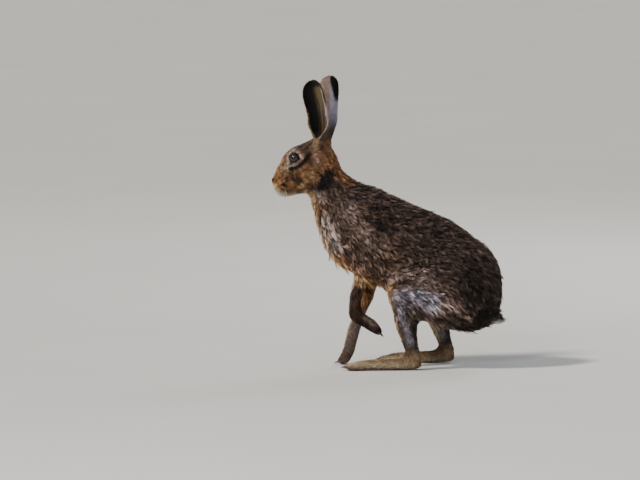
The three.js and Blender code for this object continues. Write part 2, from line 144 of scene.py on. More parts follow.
def ring_quads(rows, columns):
    """The quads between closed rows of points, where each row lies beyond the one before it."""
    row = np.arange(rows - 1)[:, None] * columns
    here = np.arange(columns)[None, :]
    after = (here + 1) % columns
    corners = [row + here, row + after, row + columns + after, row + columns + here]
    return np.stack(corners, -1).reshape(-1, 4)


def taken(items, key, columns=3, kind=np.float32):
    """One value of all the given vertices, edges or corners, as an array with so many columns."""
    flat = np.empty(columns * len(items), dtype=kind)
    items.foreach_get(key, flat)
    return flat.reshape(-1, columns)


def points_of(mesh):
    return taken(mesh.vertices, "co").astype(float)


def normals_of(mesh):
    return taken(mesh.vertex_normals, "vector").astype(float)


def set_points(mesh, points):
    mesh.vertices.foreach_set("co", np.asarray(points, dtype=np.float32).ravel())
    mesh.update()


def colour_points(mesh, name, colours):
    """Stores one colour for each vertex under a name that a material can read."""
    layer = mesh.color_attributes.new(name, "FLOAT_COLOR", "POINT")
    flat = np.ones((len(colours), 4), dtype=np.float32)
    flat[:, :3] = colours
    layer.data.foreach_set("color", flat.ravel())


def neighbour_mean(mesh):
    """A function that gives each vertex the mean of its neighbours' values along the edges."""
    a, b = taken(mesh.edges, "vertices", 2, np.int32).T
    here, there = np.append(a, b), np.append(b, a)
    count = np.bincount(here, minlength=len(mesh.vertices))

    def mean(values):
        total = np.stack([np.bincount(here, column[there], len(count)) for column in values.T], -1)
        return total / np.maximum(count, 1)[:, None]

    return mean


# %% [markdown]
# ## Stations of the coat
# A groomer would describe a coat by going over the body: here it is short and runs back, there it is
# long and hangs. Each station below is one such note: a place on the body, the way the hair lies
# there, its length and how deep the coat is. Between stations the values are blended, the nearest
# counting most. Head, trunk and tail are alike on both sides. The hind legs stand a stride apart, and
# the forelegs differ in pose, so that each has stations of its own.

# %% The stations
STRIDE = 56  # how far the right hind leg stands behind the left one, in millimetres
STATION_REACH = 4 * MM  # how close to a station it counts almost alone
# place (x, y, z), lie (x, outwards, z), hair length, coat depth, all in millimetres
HEAD_STATIONS = [
    ((-190, 0, 305), (0.3, 0.3, 0.9), 2.2, 0.7), ((-184, 5, 318), (0.6, 0.2, 0.8), 3, 0.9),
    ((-172, 6, 338), (0.6, 0.1, 0.8), 4, 1.2), ((-158, 8, 362), (0.8, 0.1, 0.6), 5, 1.6),
    ((-135, 10, 377), (1, 0.1, 0.1), 7, 2.4), ((-112, 6, 380), (0.9, 0, -0.3), 8, 2.6),
    ((-184, 14, 300), (0.9, 0.5, -0.2), 3, 0.9), ((-172, 22, 302), (1, 0.4, -0.2), 4, 1.2),
    ((-165, 22, 325), (1, 0.3, -0.2), 4, 1.3), ((-168, 18, 345), (0.8, 0.2, 0.5), 3.6, 1.1),
    ((-142, 26, 350), (1, 0.2, 0), 4.5, 1.4), ((-152, 27, 326), (1, 0.3, -0.4), 5.5, 1.8),
    ((-136, 30, 318), (1, 0.2, -0.5), 8, 2.8), ((-125, 29, 345), (1, 0.1, -0.3), 8, 2.6),
    ((-182, 5, 288), (0.9, 0.2, -0.3), 3, 1), ((-160, 8, 286), (1, 0.2, -0.3), 5, 1.6),
    ((-138, 10, 286), (1, 0.2, -0.5), 9, 3), ((-116, 14, 372), (0.1, 0.1, 1), 6, 1.6),
    ((-104, 14, 372), (0.1, 0.1, 1), 6, 1.6),
]
TRUNK_STATIONS = [
    ((-92, 0, 358), (0.5, 0, -0.9), 11, 4.5), ((-72, 0, 315), (0.6, 0, -0.8), 14, 6),
    ((-40, 0, 292), (0.8, 0.1, -0.5), 16, 6.5), ((20, 0, 265), (0.9, 0.1, -0.4), 17, 7),
    ((80, 0, 235), (0.9, 0.1, -0.5), 17, 7), ((140, 0, 190), (0.7, 0.1, -0.7), 17, 7),
    ((180, 0, 130), (0.2, 0.1, -1), 17, 6.5), ((170, 0, 92), (0.6, 0.1, -0.6), 14, 5.5),
    ((-108, 24, 315), (0.7, 0.2, -0.8), 11, 4.5), ((-100, 28, 345), (0.8, 0.1, -0.6), 10, 4),
    ((-122, 8, 280), (0.3, 0.1, -1), 14, 5.5), ((-112, 18, 245), (0.3, 0.1, -1), 20, 7.5),
    ((-95, 30, 215), (0.5, 0.1, -0.9), 24, 8), ((-70, 24, 180), (0.7, 0.1, -0.8), 27, 8.5),
    ((-45, 12, 160), (0.8, 0, -0.6), 26, 8.5), ((-60, 52, 250), (0.7, 0.1, -0.7), 17, 6.5),
    ((-30, 56, 215), (0.7, 0, -0.7), 18, 6.5), ((-35, 50, 175), (0.4, 0, -0.9), 18, 6),
    ((0, 0, 140), (1, 0, -0.2), 22, 7), ((15, 56, 225), (0.9, 0, -0.4), 17, 7),
    ((15, 52, 170), (1, 0, -0.3), 18, 7), ((70, 58, 205), (0.9, 0, -0.4), 17, 7),
    ((60, 0, 100), (1, 0, 0), 18, 6), ((125, 62, 170), (0.8, 0, -0.6), 17, 7),
    ((160, 40, 150), (0.5, 0, -0.8), 17, 6.5), ((150, 50, 90), (0.4, 0, -0.9), 17, 6),
    ((115, 30, 68), (0.7, -0.1, -0.5), 18, 6),
]
# given for the left hind leg, and the last number is how much of the stride moves the place
HIND_STATIONS = [
    ((22, 66, 150), (0.9, 0, 0.2), 15, 5.5, 0.85), ((-4, 54, 138), (0.5, 0.2, 0.3), 11, 4, 0.85),
    ((2, 52, 112), (0.6, 0.2, -0.7), 9, 3, 0.88), ((45, 68, 122), (0.9, 0, -0.3), 17, 6, 0.7),
    ((80, 69, 105), (0.8, 0, -0.6), 18, 6.5, 0.5), ((60, 66, 84), (0.6, 0, -0.8), 20, 6, 0.7),
    ((22, 64, 92), (0.4, 0.1, -0.9), 12, 4, 0.9), ((38, 34, 95), (0.3, 0, -0.9), 11, 3.5, 0.9),
    ((30, 60, 62), (0.3, 0, -0.9), 8, 2.4, 0.95), ((48, 52, 40), (0.4, 0, -0.9), 8, 2.2, 1),
    ((30, 52, 38), (0, 0, -1), 6, 1.8, 1), ((55, 50, 12), (0.2, 0, -0.9), 5, 1.6, 1),
    ((20, 52, 22), (-0.9, 0, -0.3), 6, 1.8, 1), ((-20, 52, 18), (-1, 0, -0.2), 6, 1.8, 1),
    ((-55, 53, 14), (-1, 0, -0.3), 6, 1.8, 1), ((-78, 53, 8), (-1, 0, -0.3), 4, 1.2, 1),
]
LIFTED_ARM = [
    ((-58, -40, 150), (0.3, 0, -0.9), 14, 4), ((-36, -40, 148), (0.6, 0, -0.8), 16, 4.5),
    ((-52, -42, 120), (0.2, 0, -1), 9, 2.6), ((-62, -32, 95), (0.2, 0, -1), 6, 1.8),
    ((-40, -40, 84), (0.8, 0, -0.6), 6, 1.8), ((-20, -38, 68), (0.7, 0, -0.7), 6, 1.8),
    ((-8, -30, 54), (0.6, 0, -0.8), 5, 1.4),
]
STANDING_ARM = [
    ((-40, 38, 140), (0.1, 0, -1), 14, 4), ((-18, 38, 138), (0.3, 0, -0.9), 15, 4.5),
    ((-40, 38, 100), (-0.3, 0, -1), 8, 2.4), ((-52, 36, 66), (-0.3, 0, -1), 6, 1.8),
    ((-62, 36, 32), (-0.2, 0, -1), 5, 1.6), ((-78, 34, 10), (-0.8, 0, -0.5), 4, 1.2),
]
TAIL_STATIONS = [
    ((165, 0, 90), (1, 0, 0), 15, 4.5), ((180, 0, 82), (1, 0.1, 0), 16, 3.5),
    ((180, 0, 72), (1, 0.1, -0.1), 19, 3.5),
]


def stride_of(side):
    return STRIDE if side > 0 else 0


def station_table():
    rows = []
    for side in SIDES:
        mirror = np.array((1, side, 1))
        for place, lie, *values in HEAD_STATIONS + TRUNK_STATIONS + TAIL_STATIONS:
            rows.append((*mirror * place, *mirror * lie, *values))
        for place, lie, *values, share in HIND_STATIONS:
            behind = (share * stride_of(side), 0, 0)
            rows.append((*mirror * place + behind, *mirror * lie, *values))
    rows += [(*place, *lie, *values) for place, lie, *values in LIFTED_ARM + STANDING_ARM]
    return np.array(rows, dtype=float)


stations = station_table()


def coat_at(points):
    """The lie, hair length and coat depth at each point, blended between the stations."""
    near = np.zeros((len(points), 5))
    total = np.zeros(len(points))
    for station in stations:
        gap = np.linalg.norm(points - station[:3] * MM, axis=1)
        weight = 1 / (gap + STATION_REACH) ** 4
        near += weight[:, None] * station[3:]
        total += weight
    near /= total[:, None]
    return unit(near[:, :3]), near[:, 3] * MM, near[:, 4] * MM


print("coat:", len(stations), "stations, hair from", stations[:, 6].min(), "to", stations[:, 6].max(), "mm")

# %% [markdown]
# ## One skin for all the flesh
# The solids are cut into named parts with hair-thin gaps, but a hare has one skin. Copies of the
# parts are swelled a little so that they touch, joined, and remeshed: Blender fills them with small
# cubes and wraps a new even net of quads round the lot. Smoothing takes away the facets and the
# locks of the solids. Then each point is drawn in by the depth of the coat at that place, so that
# the hair has room to end where the solids end.

# %% Join the flesh and remesh it
VOXEL = 2.2 * MM
LOCK_VOXEL = 6 * MM  # too coarse a net to hold the thin locks of breast and tail
SWELL = 0.35 * MM
ears = [name for name in frame["nodes"] if name.startswith("ear")]
locked = ["chest", "tail"]
flesh = [name for name in frame["nodes"] if name not in ears + locked]  # the eyes fill their sockets


def swelled(meshes, swell):
    """One object of several closed meshes, each pushed out a little along its normals."""
    form = bmesh.new()
    for mesh in meshes:
        form.from_mesh(mesh)
    bmesh.ops.remove_doubles(form, verts=form.verts, dist=1e-6)
    form.normal_update()
    for vertex in form.verts:
        vertex.co += vertex.normal * swell
    return linked("flesh", from_form("flesh", form))


def worked(piece):
    """The object's mesh with its modifiers worked in, as a plain mesh."""
    return bpy.data.meshes.new_from_object(piece.evaluated_get(bpy.context.evaluated_depsgraph_get()))


def remeshed(piece, voxel):
    remesh = piece.modifiers.new("one skin", "REMESH")
    remesh.mode = "VOXEL"
    remesh.voxel_size = voxel
    mesh = worked(piece)
    bpy.data.objects.remove(piece)
    return mesh


cores = [remeshed(swelled([frame["nodes"][name].data], 0), LOCK_VOXEL) for name in locked]
bodies = [frame["nodes"][name].data for name in flesh]
skin_mesh = remeshed(swelled(bodies + cores, SWELL), VOXEL)
print("skin net:", len(skin_mesh.vertices), "points,", len(skin_mesh.polygons), "quads")

# %% Where the claws stand
STUB = 0.5 * MM  # as much as the skin may keep of a claw
TOE_FAN, TOE_BACK = 0.07, 4  # how far a toe turns out and, in millimetres, stands back from the middle ones
# middle of the toes' roots, the way they point, how far apart they are and how long, in millimetres
HIND_TOES = {side: ((-60 + stride_of(side), side * 53, 6), (-1, 0, 0), 8, 18) for side in SIDES}
LIFTED_TOES = ((-16, -30, 62), (0.74, 0, -0.67), 6.5, 9)
STANDING_TOES = ((-76, 30, 6.5), (-0.9, 0, -0.25), 6.5, 9)


def toe_claws(middle, ahead, spread, length):
    """The base and the way of the four claws of one foot, where the solids have them."""
    middle, ahead = places(middle), unit(ahead)
    claws = []
    for place in (-1.5, -0.5, 0.5, 1.5):
        way = unit(ahead + (0, TOE_FAN * place, 0))
        root = middle - ahead * TOE_BACK * abs(place) * MM + places((0, place * spread, 0))
        claws.append((root + way * (length / 2 + 3.5) * MM, way))
    return claws


feet = [toe_claws(*toes) for toes in (*HIND_TOES.values(), LIFTED_TOES, STANDING_TOES)]


def without_claws(points):
    """Claws are horn, not skin: whatever the net made of them is pushed back into the toe."""
    for base, way in (claw for foot in feet for claw in foot):
        ahead = (points - base) @ way
        aside = np.linalg.norm(points - base - ahead[:, None] * way, axis=1)
        spike = (ahead > STUB) & (ahead < 14 * MM) & (aside < 3.4 * MM)
        points[spike] -= (ahead[spike] - STUB)[:, None] * way
    return points


print("claws:", sum(len(foot) for foot in feet))

# %% Smooth the net and draw it in by the coat's depth
def drawn_in(mesh):
    points = without_claws(points_of(mesh))
    mean = neighbour_mean(mesh)
    length = coat_at(points)[1]
    locks = ease(length, 9 * MM, 18 * MM)[:, None]
    face = ease(length, 3.5 * MM, 7 * MM)[:, None]
    # three turns for all, eleven that spare the face, and the rest only where the long locks lie
    for strength in [0.5] * 3 + [0.7 * (face * 0.8 + 0.2)] * 11 + [0.7 * locks] * 46:
        points += (mean(points) - points) * strength
    set_points(mesh, points)
    normals = normals_of(mesh)
    for _ in range(12):
        normals = unit(blend(normals, mean(normals), 0.6 * locks + 0.2))
    points -= normals * (coat_at(points)[2][:, None] + SWELL)
    for _ in range(6):
        points += (mean(points) - points) * 0.5 * locks
    set_points(mesh, points)
    return points


skin_points = drawn_in(skin_mesh)
print("skin drawn in:", np.round(skin_points.min(0), 3), np.round(skin_points.max(0), 3))

# %% [markdown]
# ## The ears
# A hare's ear is a sheet of gristle and skin rolled into a tube at its root, which opens into a long
# cup. A remesh would eat so thin a sheet, so each ear is drawn by a rule: a spine runs up the middle
# of its back, and at each height the sheet is an arc that opens as it climbs and draws in near the tip.
# The rule is the one that the solids follow, with many more rows and a thinner sheet.

# %% Draw the ears
EAR_WIDTH = 49 * MM
EAR_SHEET = 1.5 * MM
EAR_DRAWS_IN = 0.72
EAR_ROWS, EAR_COLUMNS = 56, 30
LEFT_SPINE = [(-113, -5, 366), (-111, -8, 402), (-115, -12, 432), (-121, -15, 456), (-124, -17, 476)]
RIGHT_SPINE = [(-101, 5, 366), (-97, 9, 402), (-96, 13, 440), (-94, 18, 480)]
# the spine, how many degrees the open sheet reaches to each side, and the way that the cup faces
EARS = {"left": (LEFT_SPINE, 76, (-0.3, -1, 0)), "right": (RIGHT_SPINE, 84, (-0.25, 1, 0))}


def curve_through(knots, t):
    """Places along a smooth curve through the knots, with t from 0 to 1 by length."""
    lengths = np.append(0, np.cumsum(np.linalg.norm(np.diff(knots, axis=0), axis=1)))
    at = np.clip(t, 0, 1) * lengths[-1]
    k = np.clip(np.searchsorted(lengths, at, side="right") - 1, 0, len(knots) - 2)
    u = ((at - lengths[k]) / (lengths[k + 1] - lengths[k]))[:, None]
    slopes = np.gradient(knots, lengths, axis=0)
    span = (lengths[k + 1] - lengths[k])[:, None]
    a, b, da, db = knots[k], knots[k + 1], slopes[k] * span, slopes[k + 1] * span
    share = 3 * u**2 - 2 * u**3
    return blend(a, b, share) + u * (1 - u) ** 2 * da - u**2 * (1 - u) * db


def ear_points(name, s, across, face):
    """Points of an ear's sheet: s up the ear, across from 0 to 1, face 0 at its back and 1 in its cup."""
    spine, spread, opening = EARS[name]
    spine, opening = places(spine), unit(opening)
    middle = curve_through(spine, s)
    up = unit(curve_through(spine, s + 0.01) - curve_through(spine, s - 0.01))
    back = -unit(opening - up * (up @ opening)[:, None])
    aside = np.cross(up, back)
    past = np.clip((s - EAR_DRAWS_IN) / (1 - EAR_DRAWS_IN), 0, 1)
    drawn = np.sqrt(np.maximum(1 - past**2.2, 0.004))
    fold = np.radians(blend(176, spread, ease(s, 0.02, 0.4)) - 40 * np.maximum(s - 0.5, 0))
    radius = EAR_WIDTH * blend(0.78, 1.0, ease(s, 0, 0.22)) / (2 * fold)
    reach = drawn * blend(0.98, 1.05, np.sin(math.pi * s)) * 0.97
    angle = (2 * across - 1) * fold * reach
    sheet = EAR_SHEET * (1 - 0.5 * ease(np.abs(2 * across - 1), 0.7, 1))
    out = radius + (0.5 - face) * sheet
    curl = 1 - 0.12 * ease(np.abs(2 * across - 1), 0.75, 1) * ease(s, 0.25, 0.5)
    return (middle + back * (out * curl * np.cos(angle) - radius)[:, None]
            + aside * (out * curl * np.sin(angle))[:, None])


def ear_net(name):
    """Both faces of the sheet as one closed net, with s, across and face for each point."""
    columns = 2 * EAR_COLUMNS
    there_and_back = np.append(np.linspace(0, 1, EAR_COLUMNS), np.linspace(1, 0, EAR_COLUMNS))
    s = np.repeat(np.linspace(0, 0.995, EAR_ROWS), columns)
    across = np.tile(there_and_back, EAR_ROWS)
    face = np.tile(np.repeat([0.0, 1.0], EAR_COLUMNS), EAR_ROWS)
    k = np.arange(EAR_COLUMNS - 1)
    top, last = (EAR_ROWS - 1) * columns, columns - 1
    cap = np.stack([top + k, top + k + 1, top + last - k - 1, top + last - k], -1)
    foot = np.stack([last - k, last - k - 1, k + 1, k], -1)
    quads = np.concatenate([ring_quads(EAR_ROWS, columns), cap, foot])
    return ear_points(name, s, across, face), quads, np.stack([s, across, face], -1)


ear_nets = {name: ear_net(name) for name in EARS}
for name, (points, quads, _) in ear_nets.items():
    print("ear", name, ":", len(quads), "quads, up to", round(points[:, 2].max(), 3))

# %% [markdown]
# ## Face and toes
# The net is fine enough for the roundness of the head but not for a nostril. The faces of the muzzle
# and toes are divided once more, and those at the front of the muzzle a second time. Then points near
# a few named lines are pressed in: the slits of the nostrils, the split of the upper lip that hares
# are known for, the line of the mouth, and the furrows between the toes.

# %% Divide the net where it needs to be fine
FINER = [((-200, 270), (-158, 330)), ((-200, 284), (-172, 330))]  # lowest and highest x and z
FINER += [((middle[0] - 22, 0), (middle[0] + 6, 24)) for middle, *_ in HIND_TOES.values()]
form = bmesh.new()
form.from_mesh(skin_mesh)
for (x0, z0), (x1, z1) in FINER:
    inside = [edge for edge in form.edges if all(x0 * MM < end.co.x < x1 * MM for end in edge.verts)]
    inside = [edge for edge in inside if all(z0 * MM < end.co.z < z1 * MM for end in edge.verts)]
    bmesh.ops.subdivide_edges(form, edges=inside, cuts=1, use_grid_fill=True)
form.to_mesh(skin_mesh)
form.free()
print("finer net:", len(skin_mesh.polygons), "faces")

# %% Press the lines in
# points on the left side, how wide, how deep at the start and at the end, in millimetres
NOSTRIL = ([(-190, 3.2, 307.5), (-189, 5, 310), (-186.5, 7, 311), (-184, 8, 310)], 1.0, 2.6, 0.8)
SPLIT_LIP = ([(-193, 0, 305), (-193, 0, 300), (-191, 0, 295.5)], 0.9, 1.2, 1.6)
MOUTH = [(-190, 0, 295), (-186, 8, 293.5), (-178, 13, 292.5), (-171, 15, 293), (-166, 16, 294.5)]
FACE_LINES = [NOSTRIL, SPLIT_LIP, (MOUTH, 1.0, 1.5, 0.1)]
NOSE_PAD = [(-193, 0, 311), (-193, 0, 305)]  # swells a little between the nostrils


def body_lines():
    """Every line to press in, in metres, with how wide it is and how deep at its start and end."""
    lines = []
    for side in SIDES:
        for line, *depths in FACE_LINES:
            lines.append((places(line) * (1, -side, 1), *depths))
        (x, y, _), _, spread, _ = HIND_TOES[side]
        for place in (-1, 0, 1):
            across = y + place * spread
            furrow = [(x + 8, across, 22), (x - 8, across, 18), (x - 19, across, 12), (x - 22, across, 5)]
            lines.append((places(furrow), 1.7, 0.4, 3.2))
    return lines


def line_distance(points, knots):
    """How far each point is from a line, and how far along the line its nearest place is."""
    least, share = np.full(len(points), np.inf), np.zeros(len(points))
    for k, (a, b) in enumerate(zip(knots[:-1], knots[1:])):
        along = b - a
        t = np.clip((points - a) @ along / (along @ along), 0, 1)
        far = np.linalg.norm(points - a - t[:, None] * along, axis=1)
        share = np.where(far < least, (k + t) / (len(knots) - 1), share)
        least = np.minimum(least, far)
    return least, share


def surface_of(mesh):
    return BVHTree.FromPolygons([v.co for v in mesh.vertices], [p.vertices[:] for p in mesh.polygons])


def snapped(surface, points):
    return np.array([surface.find_nearest(Vector(point))[0][:] for point in points])


def on_surface(surface, line):
    """The line laid on the surface as a smooth curve of twelve knots."""
    return snapped(surface, curve_through(snapped(surface, line), np.linspace(0, 1, 12)))


def press_lines(mesh):
    points, normals, surface = points_of(mesh), normals_of(mesh), surface_of(mesh)
    moved = np.zeros(len(points))
    for line, wide, first_deep, last_deep in body_lines():
        near, share = line_distance(points, on_surface(surface, line))
        hollow = blend(first_deep, last_deep, share) * MM * np.exp(-((near / (wide * MM)) ** 2))
        moved = np.maximum(moved, hollow)
    pad, _ = line_distance(points, snapped(surface, places(NOSE_PAD)))
    moved -= 0.6 * MM * np.exp(-((pad / (3.2 * MM)) ** 2)) * (moved < 0.5 * MM)
    set_points(mesh, points - normals * moved[:, None])


press_lines(skin_mesh)
print("pressed in", len(body_lines()), "lines")

# %% [markdown]
# ## Eyes and lids
# A hare's eye is large and stands a little out of the side of its head. The ball is one smooth
# sphere with the slight bulge of the cornea. The lids are a ring of skin that lies on the ball at
# its inner edge, turns over a thin rim and runs out under the fur. The opening is an almond, and its
# front corner points down to the nose.

# %% The eyeballs
EYE_RADIUS = 8.5 * MM
EYE_TILT = math.radians(-16)
CORNEA = math.radians(44)
CORNEA_BULGE = 0.045  # of the radius


def eye_frame(side):
    """Centre of an eye, the way it looks, the way to its front corner, and the way up."""
    low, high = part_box("eye_left" if side < 0 else "eye_right")
    centre = np.array((low + high) / 2)
    out = unit((-0.2, side, 0.1))
    front = unit((-1, 0, 0) - out * -out[0])
    up = np.cross(front, out)
    up *= np.sign(up[2])
    turned_front = front * math.cos(EYE_TILT) + up * math.sin(EYE_TILT)
    turned_up = up * math.cos(EYE_TILT) - front * math.sin(EYE_TILT)
    return centre, out, turned_front, turned_up


def eyeball(side):
    centre, out, _, up = eye_frame(side)
    form = bmesh.new()
    bmesh.ops.create_uvsphere(form, u_segments=64, v_segments=40, radius=1)
    mesh = from_form("eye", form)
    ball = points_of(mesh)
    turn = np.arccos(np.clip(ball[:, 2], -1, 1))
    bulge = 1 + CORNEA_BULGE * (1 - ease(turn, 0.3 * CORNEA, CORNEA))
    set_points(mesh, centre + EYE_RADIUS * bulge[:, None] * (ball @ np.stack([np.cross(up, out), up, out])))
    mesh.shade_smooth()
    return linked("eyeball_" + SIDES[side], mesh)


eyeballs = {side: eyeball(side) for side in SIDES}
print("eyes:", [piece.name for piece in eyeballs.values()])

# %% The lids
LID_COLUMNS, LID_ROWS = 72, 10
LID_BEYOND = np.radians([-4, -1, 1.5, 4, 8, 13, 18, 24, 30, 36])  # how far past the opening a row lies
LID_HEIGHT = np.array([-0.4, 0.15, 0.65, 0.85, 0.75, 0.4, 0.1, -0.2, -0.5, -0.9]) * MM  # over the ball
OPEN_WIDE, OPEN_UP, OPEN_DOWN = math.radians(70), math.radians(47), math.radians(44)
ALMOND = 1.7  # 2 would make the opening an ellipse, and 1 a diamond


def lid_edge(turn):
    """How far from the middle of the eye its opening reaches, at each turn round it."""
    high = np.where(np.sin(turn) > 0, OPEN_UP, OPEN_DOWN)
    almond = (np.abs(np.cos(turn)) / OPEN_WIDE) ** ALMOND + (np.abs(np.sin(turn)) / high) ** ALMOND
    corner = math.radians(9) * np.exp(-((np.angle(np.exp(1j * turn)) / 0.3) ** 2))
    return almond ** (-1 / ALMOND) + corner


def lid_net(side, surface):
    centre, out, front, up = eye_frame(side)
    turn = np.tile(np.linspace(0, 2 * math.pi, LID_COLUMNS, endpoint=False), LID_ROWS)
    row = np.repeat(np.arange(LID_ROWS), LID_COLUMNS)
    off = lid_edge(turn) + LID_BEYOND[row]
    aside = front * np.cos(turn)[:, None] + up * np.sin(turn)[:, None]
    way = out * np.cos(off)[:, None] + aside * np.sin(off)[:, None]
    points = centre + way * (EYE_RADIUS + LID_HEIGHT[row])[:, None]
    ground = snapped(surface, points) + way * blend(0.35, -0.8, ease(row, 6, LID_ROWS - 1))[:, None] * MM
    points = blend(points, ground, ease(row, 2.5, 7)[:, None])
    quads = ring_quads(LID_ROWS, LID_COLUMNS)
    middle = points[quads[LID_COLUMNS * 4]]
    facing = np.cross(middle[1] - middle[0], middle[3] - middle[0]) @ out
    return points, quads if facing > 0 else quads[:, ::-1]


skin_surface = surface_of(skin_mesh)  # now with its furrows
lid_nets = {side: lid_net(side, skin_surface) for side in SIDES}
print("lids:", sum(len(quads) for _, quads in lid_nets.values()), "quads")

# %% [markdown]
# ## The skin as one object
# Skin, ears and lids become one mesh. It gets a flat map of its own shape, unwrapped from the net,
# and every tuft will later take its colour patch at its root's place on this same map.

# %% Join and unwrap the skin
def joined_skin():
    form = bmesh.new()
    form.from_mesh(skin_mesh)
    for points, quads, *_ in (*ear_nets.values(), *lid_nets.values()):
        piece = mesh_object("ear or lid", points, quads)
        form.from_mesh(piece.data)
        bpy.data.objects.remove(piece)
    mesh = from_form("skin", form)
    mesh.shade_smooth()
    return linked("skin", mesh)


skin = joined_skin()
body_end = len(skin_mesh.vertices)  # points of the ears follow, and then those of the lids
bpy.context.view_layer.objects.active = skin
skin.select_set(True)
skin.data.uv_layers.new(name="OFBake")
bpy.ops.object.mode_set(mode="EDIT")
bpy.ops.mesh.select_all(action="SELECT")
bpy.ops.uv.smart_project(angle_limit=math.radians(70), island_margin=0.002)
bpy.ops.object.mode_set(mode="OBJECT")
skin.select_set(False)
print("skin:", len(skin.data.vertices), "points,", len(skin.data.polygons), "faces")

# %% [markdown]
# ## What every point of the skin knows
# Before any hair grows, each point of the skin is told the lie, length and depth of its coat, how
# thickly the hair stands and how much the locks part. On the body this comes from the stations. On
# the ears it comes from the rule that drew them: hair runs up to the tip and is longest on the rims.
# Round the eyes the hair is turned to run outwards, and the lines of the face stay bare.

# %% Coat values on the skin
skin_points, skin_normals = points_of(skin.data), normals_of(skin.data)
lie, length, depth = coat_at(skin_points)
thickness = np.ones(len(skin_points))  # how thickly the hair stands
ear_values = {}
first = body_end
for name, (points, _, values) in ear_nets.items():
    part = slice(first, first + len(points))
    s, across, face = values.T
    ear_values[name] = (part, s, across, face)
    rim = ease(np.abs(2 * across - 1), 0.72, 1)
    up = unit(ear_points(name, s + 0.02, across, face) - ear_points(name, s - 0.02, across, face))
    aside = unit(ear_points(name, s, across + 0.02, face) - ear_points(name, s, across - 0.02, face))
    lie[part] = unit(up + aside * (0.35 * np.sign(across - 0.5) * rim)[:, None])
    length[part] = (3.4 + 2.8 * rim * (1 - 0.6 * s) - 0.8 * face * (1 - rim)) * MM
    depth[part] = (0.8 + 0.5 * rim) * MM
    thickness[part] = np.where(face > 0.5, 0.32 + 0.7 * rim, 0.72) * ease(s, 0.0, 0.03)
    first += len(points)
lid_part = slice(first, len(skin_points))
lid_rows = np.tile(np.repeat(np.arange(LID_ROWS), LID_COLUMNS), 2)
length[lid_part], depth[lid_part] = 2.4 * MM, 0.5 * MM
thickness[lid_part] = (lid_rows >= 3) & (lid_rows <= 6)  # the rim and what lies under the fur stay bare
for side in SIDES:
    centre, out, front, up = eye_frame(side)
    gap = skin_points - centre
    far = np.linalg.norm(gap, axis=1)
    turn = np.arctan2(gap @ up, gap @ front)
    off = np.arccos(np.clip(gap @ out / far, -1, 1)) - lid_edge(turn)
    under = (off < math.radians(16)) & (far < 16 * MM)
    under[lid_part] = False
    thickness[under] = 0
    outward = unit(gap - out * (gap @ out)[:, None])
    swirl = unit(lie + outward * (1.2 * (1 - ease(far, 10 * MM, 18 * MM)))[:, None])
    near = far < 18 * MM
    lie[near] = swirl[near]
face_gap = np.full(len(skin_points), np.inf)  # how far it is to the bare edge of a line of the face
for line, *_ in body_lines():
    start = line[0, 2] / MM
    if start > 250:
        bare = (0.9 if start > 307 else 0.1) * MM  # wider at the nostrils than at lip and mouth
        near, _ = line_distance(skin_points, on_surface(skin_surface, line))
        face_gap = np.minimum(face_gap, near - bare)
thickness *= ease(face_gap, 0, 0.7 * MM)
length *= blend(0.45, 1.0, ease(face_gap, 0.5 * MM, 3.5 * MM))
thickness *= ease(skin_points[:, 2], 1.5 * MM, 3.5 * MM)
lie = along_surface(lie, skin_normals)
shaggy = ease(length, 6 * MM, 16 * MM)
print("coat values: hair from", round(length.min(), 4), "to", round(length.max(), 4), "m")

# %% [markdown]
# ## Markings
# A brown hare is ticked: each hair is banded, so from a step away the coat is a mottle of umber,
# tan and grey. Larger markings are laid over that as soft strokes, each a line seen from the side
# with a width and an edge: a dark back, a rufous nape and breast, pale rings round the eyes, white
# under the chin and tail, black ear tips. Some strokes paint light and shade instead: painted shadow
# behind the cheek, under the rump and on the backs of the legs, and painted sunlight along the front
# edges of face, breast and legs. The same colours go on the skin and on every tuft.

# %% The paints
def paint(code):
    """A colour written as on a paint card, turned into the linear light that Blender works in."""
    values = np.array([int(code[k:k + 2], 16) for k in (0, 2, 4)]) / 255
    return np.where(values <= 0.04045, values / 12.92, ((values + 0.055) / 1.055) ** 2.4)


CARD = {
    "umber": "453731", "bark": "58442f", "flank": "6b544a", "stone": "a59088", "ochre": "9a6e4c",
    "rufous": "94633c", "orange": "b98754", "tan": "b59a76", "cream": "dccaa8", "white": "f3eee4",
    "silver": "c9c2d0", "black": "120e0c", "chestnut": "473225", "olive": "7c6f50", "ash": "dcd6d8",
    "pink": "b79e92", "soot": "1a110c", "sand": "d6ae7c", "gold": "f4c98e", "linen": "ecdcd2",
    "violet": "d2cbe0",
}
PAINTS = {name: paint(code) for name, code in CARD.items()}
